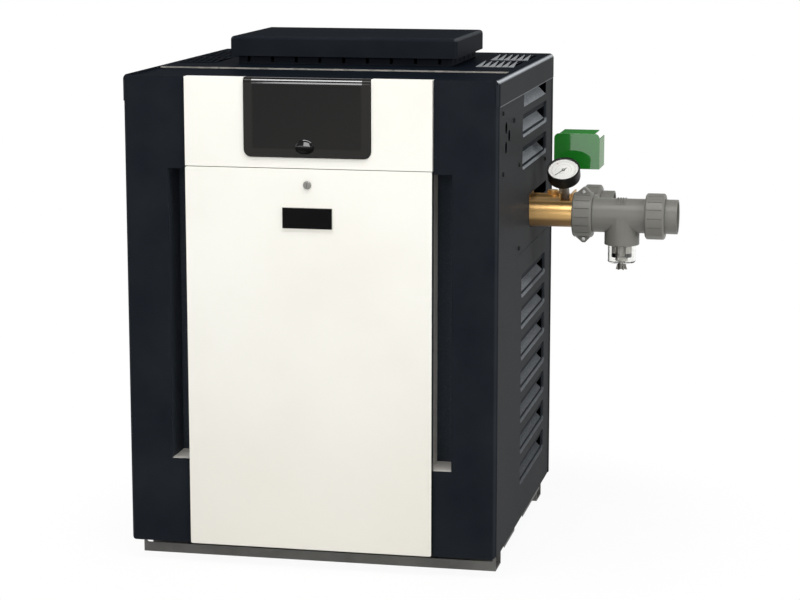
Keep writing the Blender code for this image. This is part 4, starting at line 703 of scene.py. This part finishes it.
# the front face of the step in the cap, which is painted pale as a highlight
def onRiser(face):
    y = face.center.y - cabinetShift.y
    return face.normal.y < -squareOn and abs(y - deckFaces["riserY"]) < deckFaces["riserReach"]


knockouts = {"at": [(0.0867, 0.8439), (0.1217, 0.8259), (0.0855, 0.8071)], "reach": 0.0120, "flat": 0.8}


def inKnockout(face):
    c = face.center - cabinetShift
    near = [math.hypot(c.y - y, c.z - z) < knockouts["reach"] for y, z in knockouts["at"]]
    return any(near) and abs(face.normal.x) < knockouts["flat"]


def onRoll(face):
    wide = abs(face.center.x - cabinetShift.x) < cover["halfWidth"]
    return wide and face.center.z > cover["roll"] and face.normal.z > cover["rollLean"]


grip = {"x": -0.0038, "z": 0.8075, "reachX": 0.0186, "middle": 0.003, "reachZ": 0.0142, "largest": 0.0002,
        "band": 0.0024}


def onGrip(face):
    c = face.center - cabinetShift
    near = abs(c.x - grip["x"]) < grip["reachX"] and abs(c.z - grip["z"] - grip["middle"]) < grip["reachZ"]
    return near and face.area < grip["largest"] and c.y < 0


def onGripTop(face):
    return onGrip(face) and face.center.z > grip["z"] + grip["band"]


def onGripScoop(face):
    return onGrip(face) and face.center.z <= grip["z"] + grip["band"]


guardLean = 0.7  # faces turned this far up are the guard's top, this far sideways its edge
patches = [
    ("top_panel", "deck", onDeck), ("vent_hood", "deck", onDeck), ("vent_collar", "deck", onDeck),
    ("top_panel", "riserHighlight", onRiser), ("right_side_panel", "shade", inKnockout),
    ("flip_cover", "smokedTop", onRoll), ("flip_cover", "gripBlack", onGripTop),
    ("flip_cover", "gripScoop", onGripScoop),
    ("splash_guard", "greenTop", lambda f: f.normal.z > guardLean),
    # the guard's right-facing edge gets a painted reflection
    ("splash_guard", "greenEdgeReflection", lambda f: f.normal.x > guardLean),
]
for nodeName, lookName, faceTest in patches:
    recolour(bpy.data.objects[nodeName + "Skin"], looks[lookName], faceTest)
print("nodes dressed:", len(skins))


# new pieces, modelled one by one

def named(name):
    piece = bpy.context.active_object
    piece.name = name
    piece.data.name = name
    return piece


def openEdit(name):
    # name a new primitive, put its place into its mesh and start shaping it
    piece = named(name)
    bpy.ops.object.transform_apply(location=True, rotation=True, scale=True)
    bpy.ops.object.mode_set(mode="EDIT")
    return piece


def block(name, place, size):
    bpy.ops.object.select_all(action="DESELECT")
    bpy.ops.mesh.primitive_cube_add(size=1, location=place, scale=size)
    return openEdit(name)


def cylinder(name, sides, place, radius, depth, turn=(0, 0, 0)):
    bpy.ops.object.select_all(action="DESELECT")
    bpy.ops.mesh.primitive_cylinder_add(vertices=sides, radius=radius, depth=depth, location=place, rotation=turn)
    return openEdit(name)


def closeEdit(piece):
    bpy.ops.object.mode_set(mode="OBJECT")
    pick(piece)


def faces(test):
    # in edit mode: select only the faces that pass
    piece = bpy.context.active_object
    bpy.ops.mesh.select_all(action="DESELECT")
    bm = bmesh.from_edit_mesh(piece.data)
    for face in bm.faces:
        face.select_set(test(face))
    bmesh.update_edit_mesh(piece.data)


def corners(test):
    # in edit mode: select only the points that pass
    piece = bpy.context.active_object
    bpy.ops.mesh.select_mode(type="VERT")
    bpy.ops.mesh.select_all(action="DESELECT")
    bm = bmesh.from_edit_mesh(piece.data)
    for vert in bm.verts:
        vert.select_set(test(vert.co))
    bm.select_flush_mode()
    bmesh.update_edit_mesh(piece.data)


def cutAway(place, normal):
    # in edit mode: what lies behind the plane goes, and the cut is closed
    bpy.ops.mesh.select_all(action="SELECT")
    bpy.ops.mesh.bisect(plane_co=place, plane_no=normal, use_fill=True, clear_inner=True)


def onBody(piece, body):
    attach(piece, body)


# which way the top of a copied piece ends up
turns = {"up": Matrix.Identity(4),
         "right": Matrix.Rotation(math.pi / 2, 4, "Y"), "left": Matrix.Rotation(-math.pi / 2, 4, "Y"),
         "front": Matrix.Rotation(math.pi / 2, 4, "X"), "back": Matrix.Rotation(-math.pi / 2, 4, "X")}


def copyTo(model, name, place, way, body):
    piece = bpy.data.objects.new(name, model.data.copy())
    piece.data.transform(Matrix.Translation(place) @ turns[way])
    bpy.context.scene.collection.objects.link(piece)
    onBody(piece, body)
    return piece


badge = {"halfWidth": 0.048, "low": 0.6575, "high": 0.6974, "front": -0.008, "thick": 0.0034, "rim": 0.0022,
         "recess": 0.0004, "gap": 0.0001, "edge": 0.0006, "limit": 50, "margin": 0.0003, "flat": 0.8,
         "rimColour": lin(190, 188, 181), "faceColour": lin(9, 9, 9)}


def makeBadge():
    # bare plate: pale bevelled block with a black face
    b = badge
    middle = cab(0, b["front"] - b["gap"] - b["thick"] / 2, (b["low"] + b["high"]) / 2)
    piece = block("badgePlate", middle, (2 * b["halfWidth"], b["thick"], b["high"] - b["low"]))
    faces(lambda f: f.normal.y < -squareOn)
    bpy.ops.mesh.inset(thickness=b["rim"])
    bpy.ops.transform.translate(value=(0, b["recess"], 0))
    closeEdit(piece)
    soften(piece, b["edge"], limit=b["limit"])
    settle(piece, moulded("badgeRim", b["rimColour"], rough=0.30))
    border = b["rim"] + b["margin"]

    def onFace(face):
        inside = abs(face.center.x - cabinetShift.x) < b["halfWidth"] - border
        tall = b["low"] + border < face.center.z < b["high"] - border
        return inside and tall and face.normal.y < -b["flat"]

    recolour(piece, moulded("badgeFace", b["faceColour"], rough=0.40, ior=1.12), onFace)
    onBody(piece, "door")


screw = {"radius": 0.0044, "height": 0.0026, "sides": 20, "ring": 0.30, "crown": 0.25, "recess": 0.0012,
         "taper": 0.6, "edge": 0.0003, "sideX": 0.3576, "rearY": 0.6941,
         "side": [(0.0467, 0.8740), (0.1737, 0.8495), (0.0502, 0.7613), (0.2435, 0.7569), (0.5872, 0.7294)],
         "access": [(0.2460, 0.5936)],
         "rear": [(-0.30, 0.10), (0.30, 0.10), (-0.30, 0.46), (0.30, 0.46), (-0.30, 0.82), (0.30, 0.82)]}


def screwModel():
    # pan head with a tapered recess, facing up
    s = screw
    piece = cylinder("screwModel", s["sides"], (0, 0, s["height"] / 2), s["radius"], s["height"])
    faces(lambda f: f.normal.z > squareOn)
    bpy.ops.mesh.inset(thickness=s["radius"] * s["ring"])
    bpy.ops.transform.translate(value=(0, 0, s["height"] * s["crown"]))
    bpy.ops.mesh.inset(thickness=s["radius"] * s["ring"])
    bpy.ops.mesh.extrude_region_move(TRANSFORM_OT_translate={"value": (0, 0, -s["recess"])})
    bpy.ops.transform.resize(value=(s["taper"], s["taper"], 1))
    closeEdit(piece)
    soften(piece, s["edge"])
    settle(piece, looks["blackHead"])
    return piece


def makeScrews():
    s = screw
    model = screwModel()
    spots = []
    for i, (y, z) in enumerate(s["side"]):
        spots.append((f"rightScrew{i + 1}", "right", cab(s["sideX"], y, z)))
        spots.append((f"leftScrew{i + 1}", "left", cab(-s["sideX"], y, z)))
    for i, (y, z) in enumerate(s["access"]):
        spots.append((f"accessScrew{i + 1}", "right", cab(s["sideX"], y, z)))
    for i, (x, z) in enumerate(s["rear"]):
        spots.append((f"rearScrew{i + 1}", "back", cab(x, s["rearY"], z)))
    for name, way, place in spots:
        copyTo(model, name, place, way, "cabinet")
    bpy.data.objects.remove(model)


clampBolt = {"x": 0.4652, "rise": 0.0470, "radius": 0.0036, "head": 0.0040, "sides": 24, "socket": 0.0018,
             "depth": 0.55, "edge": 0.0004, "rings": 3, "front": 0.3963, "rear": 0.4157}


def makeClampBolts():
    # socket heads in front of the clamp and nuts behind it
    c = clampBolt
    model = cylinder("boltModel", c["sides"], (0, 0, c["head"] / 2), c["radius"], c["head"])
    faces(lambda f: f.normal.z > squareOn)
    bpy.ops.mesh.inset(thickness=c["radius"] - c["socket"])
    bpy.ops.mesh.extrude_region_move(TRANSFORM_OT_translate={"value": (0, 0, -c["head"] * c["depth"])})
    closeEdit(model)
    soften(model, c["edge"], c["rings"])
    settle(model, looks["steel"])
    for side, sign in (("Upper", 1), ("Lower", -1)):
        z = pipeZ + sign * c["rise"]
        copyTo(model, "clampBolt" + side, cab(c["x"], c["front"], z), "front", "cabinet")
        copyTo(model, "clampNut" + side, cab(c["x"], c["rear"], z), "back", "cabinet")
    bpy.data.objects.remove(model)


teeRib = {"first": 0.5315, "pitch": 0.0052, "count": 4, "width": 0.0022, "rise": 0.0017, "radius": 0.03425,
          "sides": 64, "drop": 0.0085, "edge": 0.0004}


def makeTeeRibs():
    # short ribs over the top of the tee
    t = teeRib
    for i in range(t["count"]):
        place = cab(t["first"] + i * t["pitch"], outletY, pipeZ)
        piece = cylinder(f"teeRib{i + 1}", t["sides"], place, t["radius"] + t["rise"], t["width"],
                         (0, math.pi / 2, 0))
        cutAway(cab(0, outletY, pipeZ + t["radius"] - t["drop"]), (0, 0, 1))
        closeEdit(piece)
        soften(piece, t["edge"])
        settle(piece, looks["greyPvc"])
        onBody(piece, "cabinet")


sleeve = {"x": 0.5404, "outer": 0.0200, "inner": 0.0145, "sides": 36, "low": 0.5585, "high": 0.5985,
          "slot": 0.0096, "edge": 0.0006, "limit": 60, "pale": lin(212, 209, 202), "tip": lin(38, 37, 35),
          "shadedEndTop": 0.5665, "shadedEndSoft": 0.0004, "rough": 0.45}


def sleevePlastic(name):
    # pale legs, painted dark at their lower ends, standing in for the dark seen through the clear cup
    s = Sheet(name)
    z = s.axes()[2]
    flow = s.noise(plastic["flowScale"], 3.0)
    tip = 1 - z.step(sleeve["shadedEndTop"], sleeve["shadedEndTop"] + sleeve["shadedEndSoft"])
    s.set(Base_Color=s.mix(tip, sleeve["pale"], sleeve["tip"]),
          Roughness=sleeve["rough"] + (flow - 0.5) * plastic["roughDrift"])
    return s.made


def makeCapSleeve():
    # pale slotted sleeve inside the clear cup: two legs, left and right of the rod
    s = sleeve
    middle = cab(s["x"], outletY, (s["low"] + s["high"]) / 2)
    piece = cylinder("capSleeve", s["sides"], middle, s["outer"], s["high"] - s["low"])
    faces(lambda f: abs(f.normal.z) > squareOn)
    bpy.ops.mesh.inset(thickness=s["outer"] - s["inner"], use_individual=True)
    bpy.ops.mesh.bridge_edge_loops()
    bpy.ops.mesh.select_all(action="SELECT")
    bpy.ops.mesh.normals_make_consistent(inside=False)
    cutAway(cab(s["x"] + s["slot"], outletY, 0), (1, 0, 0))
    closeEdit(piece)
    axis = Matrix.Translation(cab(s["x"], outletY, 0))
    twin = bpy.data.objects.new("capSleeveTwin", piece.data.copy())
    twin.data.transform(axis @ Matrix.Rotation(math.pi, 4, "Z") @ axis.inverted())
    bpy.context.scene.collection.objects.link(twin)
    twin.select_set(True)
    bpy.ops.object.join()
    pick(piece)
    soften(piece, s["edge"], limit=s["limit"])
    settle(piece, sleevePlastic("capSleeve"))
    onBody(piece, "anode")


capCorner = {"x": 0.3475, "y": 0.0100, "low": 0.9240, "high": 0.9373, "radius": 0.0098, "sides": 48,
             "round": 0.0048, "rings": 5, "inner": 0.3466}


def makeCapCorners():
    # rounded corner between the cap's rim and the cheek
    c = capCorner
    for side, name in ((1, "rightCapCorner"), (-1, "leftCapCorner")):
        middle = cab(side * c["x"], c["y"], (c["low"] + c["high"]) / 2)
        piece = cylinder(name, c["sides"], middle, c["radius"], c["high"] - c["low"])
        faces(lambda f: f.normal.z > squareOn)
        bpy.ops.mesh.bevel(offset=c["round"], segments=c["rings"], affect="EDGES")
        cutAway(cab(side * c["inner"], 0, 0), (side, 0, 0))
        closeEdit(piece)
        settle(piece, looks["powderSmooth"])
        onBody(piece, "cabinet")


grille = {"left": 0.2615, "pitch": 0.0127, "count": 6, "rows": [(0.300, 0.416), (0.477, 0.595)], "width": 0.0120,
          "tip": 0.0010, "thick": 0.0008, "rise": 0.0030, "top": 0.9391, "edge": 0.0002}


def finModel(y0, y1, look):
    # one pressed vane of the top grille: wide in front, rising to a point at the back
    g = grille
    middle = cab(g["width"] / 2, (y0 + y1) / 2, g["top"] + g["thick"] / 2)
    piece = block("finModel", middle, (g["width"], y1 - y0, g["thick"]))
    corners(lambda p: p.y > middle.y and p.x > middle.x)
    bpy.ops.transform.translate(value=(g["tip"] - g["width"], 0, 0))
    corners(lambda p: p.y > middle.y)
    bpy.ops.transform.translate(value=(0, 0, g["rise"]))
    closeEdit(piece)
    soften(piece, g["edge"], rings=1)
    settle(piece, looks[look])
    return piece


def makeGrilleFins():
    g = grille
    # painted light: the right fins are pale and the left fins take the dark deck coat, for how the light falls on
    # each
    for side, name, look in ((1, "rightGrilleFins", "litFinCoat"), (-1, "leftGrilleFins", "deck")):
        made = []
        for y0, y1 in g["rows"]:
            model = finModel(y0, y1, look)
            for i in range(g["count"]):
                x = g["left"] + i * g["pitch"]
                shift = x if side > 0 else -x - g["width"]
                made.append(copyTo(model, name, (shift, 0, 0), "up", "cabinet"))
            bpy.data.objects.remove(model)
        pick(made[0])
        for piece in made:
            piece.select_set(True)
        bpy.ops.object.join()
        named(name)


makeBadge()
makeScrews()
makeCapCorners()
makeGrilleFins()
makeClampBolts()
makeTeeRibs()
makeCapSleeve()
print("new pieces made")


# floor, light and camera

paleFloor = {"size": 6.0, "drop": 0.0005, "colour": (0.92, 0.92, 0.92, 1.0), "shadow": 0.07, "fade": (0.44, 0.82)}


def makeFloor():
    # shows white, and keeps a faint shadow close to the object
    f = paleFloor
    bpy.ops.object.select_all(action="DESELECT")
    bpy.ops.mesh.primitive_plane_add(size=f["size"], location=(0, 0, -f["drop"]))
    floor = named("studioFloor")
    s = Sheet("studioFloor")
    light = s.rays()
    seen = light["Is Camera Ray"].maths("MAXIMUM", light["Is Transmission Ray"])
    seen = seen.maths("MAXIMUM", light["Is Glossy Ray"])
    diffuse = s.node("ShaderNodeBsdfDiffuse", {}, {"Color": f["colour"]})
    glow = s.node("ShaderNodeEmission", {}, {"Color": (1, 1, 1, 1), "Strength": 1.0})
    far = s.node("ShaderNodeVectorMath", {"operation": "LENGTH"}, {0: s.coords}, "Value")
    white = (1 - f["shadow"]) + f["shadow"] * far.step(*f["fade"])
    both = s.node("ShaderNodeMixShader", {}, {0: seen * white, 1: diffuse, 2: glow})
    s.tree.links.new(both.out, s.tree.nodes["Material Output"].inputs["Surface"])
    floor.data.materials.append(s.made)


sky = {"fill": 0.41, "ceiling": 0.9, "ceilingRise": (0.30, 0.62), "front": (0.0, 0.5), "frontRise": (0.02, 0.16),
       "frontDark": 0.95}


def makeWorld():
    # white behind the object; reflections see a dimmer ceiling and front
    s = Sheet("studioWorld", world=True)
    bpy.context.scene.world = s.made
    light = s.rays()
    seen = light["Is Camera Ray"]
    toBack, height = s.split(s.beside(s.coords)["Generated"])[1:]
    front = (0 - toBack).step(*sky["front"]) * height.step(*sky["frontRise"])
    dark = height.step(*sky["ceilingRise"]).maths("MAXIMUM", front * sky["frontDark"])
    other = sky["fill"] + light["Is Glossy Ray"] * (1 - dark * sky["ceiling"] - sky["fill"])
    s.set(Color=(1, 1, 1, 1), Strength=other + seen * (1 - other))


lamps = {
    "keyLamp": {"at": (-0.25, -3.4, 1.75), "aim": (0.1, 0.3, 0.6), "size": (1.5, 1.4), "watts": 22},
    "sideLamp": {"at": (3.2, -0.6, 1.9), "aim": (0.3, 0.35, 0.6), "size": (1.6, 1.6), "watts": 24},
    "topSoft": {"at": (0.25, -0.80, 2.9), "aim": (0.25, -0.2, 0.9), "size": (2.6, 0.9), "watts": 46},
}


def makeLamps():
    for name, lamp in lamps.items():
        data = bpy.data.lights.new(name, "AREA")
        data.shape = "RECTANGLE"
        data.size, data.size_y = lamp["size"]
        data.energy = lamp["watts"]
        light = bpy.data.objects.new(name, data)
        bpy.context.scene.collection.objects.link(light)
        light.location = cab(*lamp["at"])
        light.rotation_euler = (cab(*lamp["aim"]) - light.location).to_track_quat("-Z", "Y").to_euler()


photoView = {"at": (1.0502, -4.2049, 1.2952), "right": (0.97898, 0.20398, 0.0),
             "forward": (-0.20080, 0.96373, -0.17580), "lens": 105.61, "sensor": 36}


def makeCamera():
    data = bpy.data.cameras.new("photoCamera")
    data.sensor_fit = "HORIZONTAL"
    data.sensor_width = photoView["sensor"]
    data.lens = photoView["lens"]
    camera = bpy.data.objects.new("photoCamera", data)
    bpy.context.scene.collection.objects.link(camera)
    right = Vector(photoView["right"]).normalized()
    back = -Vector(photoView["forward"]).normalized()
    up = back.cross(right).normalized()
    turn = Matrix((right, up, back)).transposed().to_4x4()
    camera.matrix_world = Matrix.Translation(cab(*photoView["at"])) @ turn
    bpy.context.scene.camera = camera


makeFloor()
makeWorld()
makeLamps()
makeCamera()
bpy.context.scene.view_settings.view_transform = "Standard"
print("studio ready")
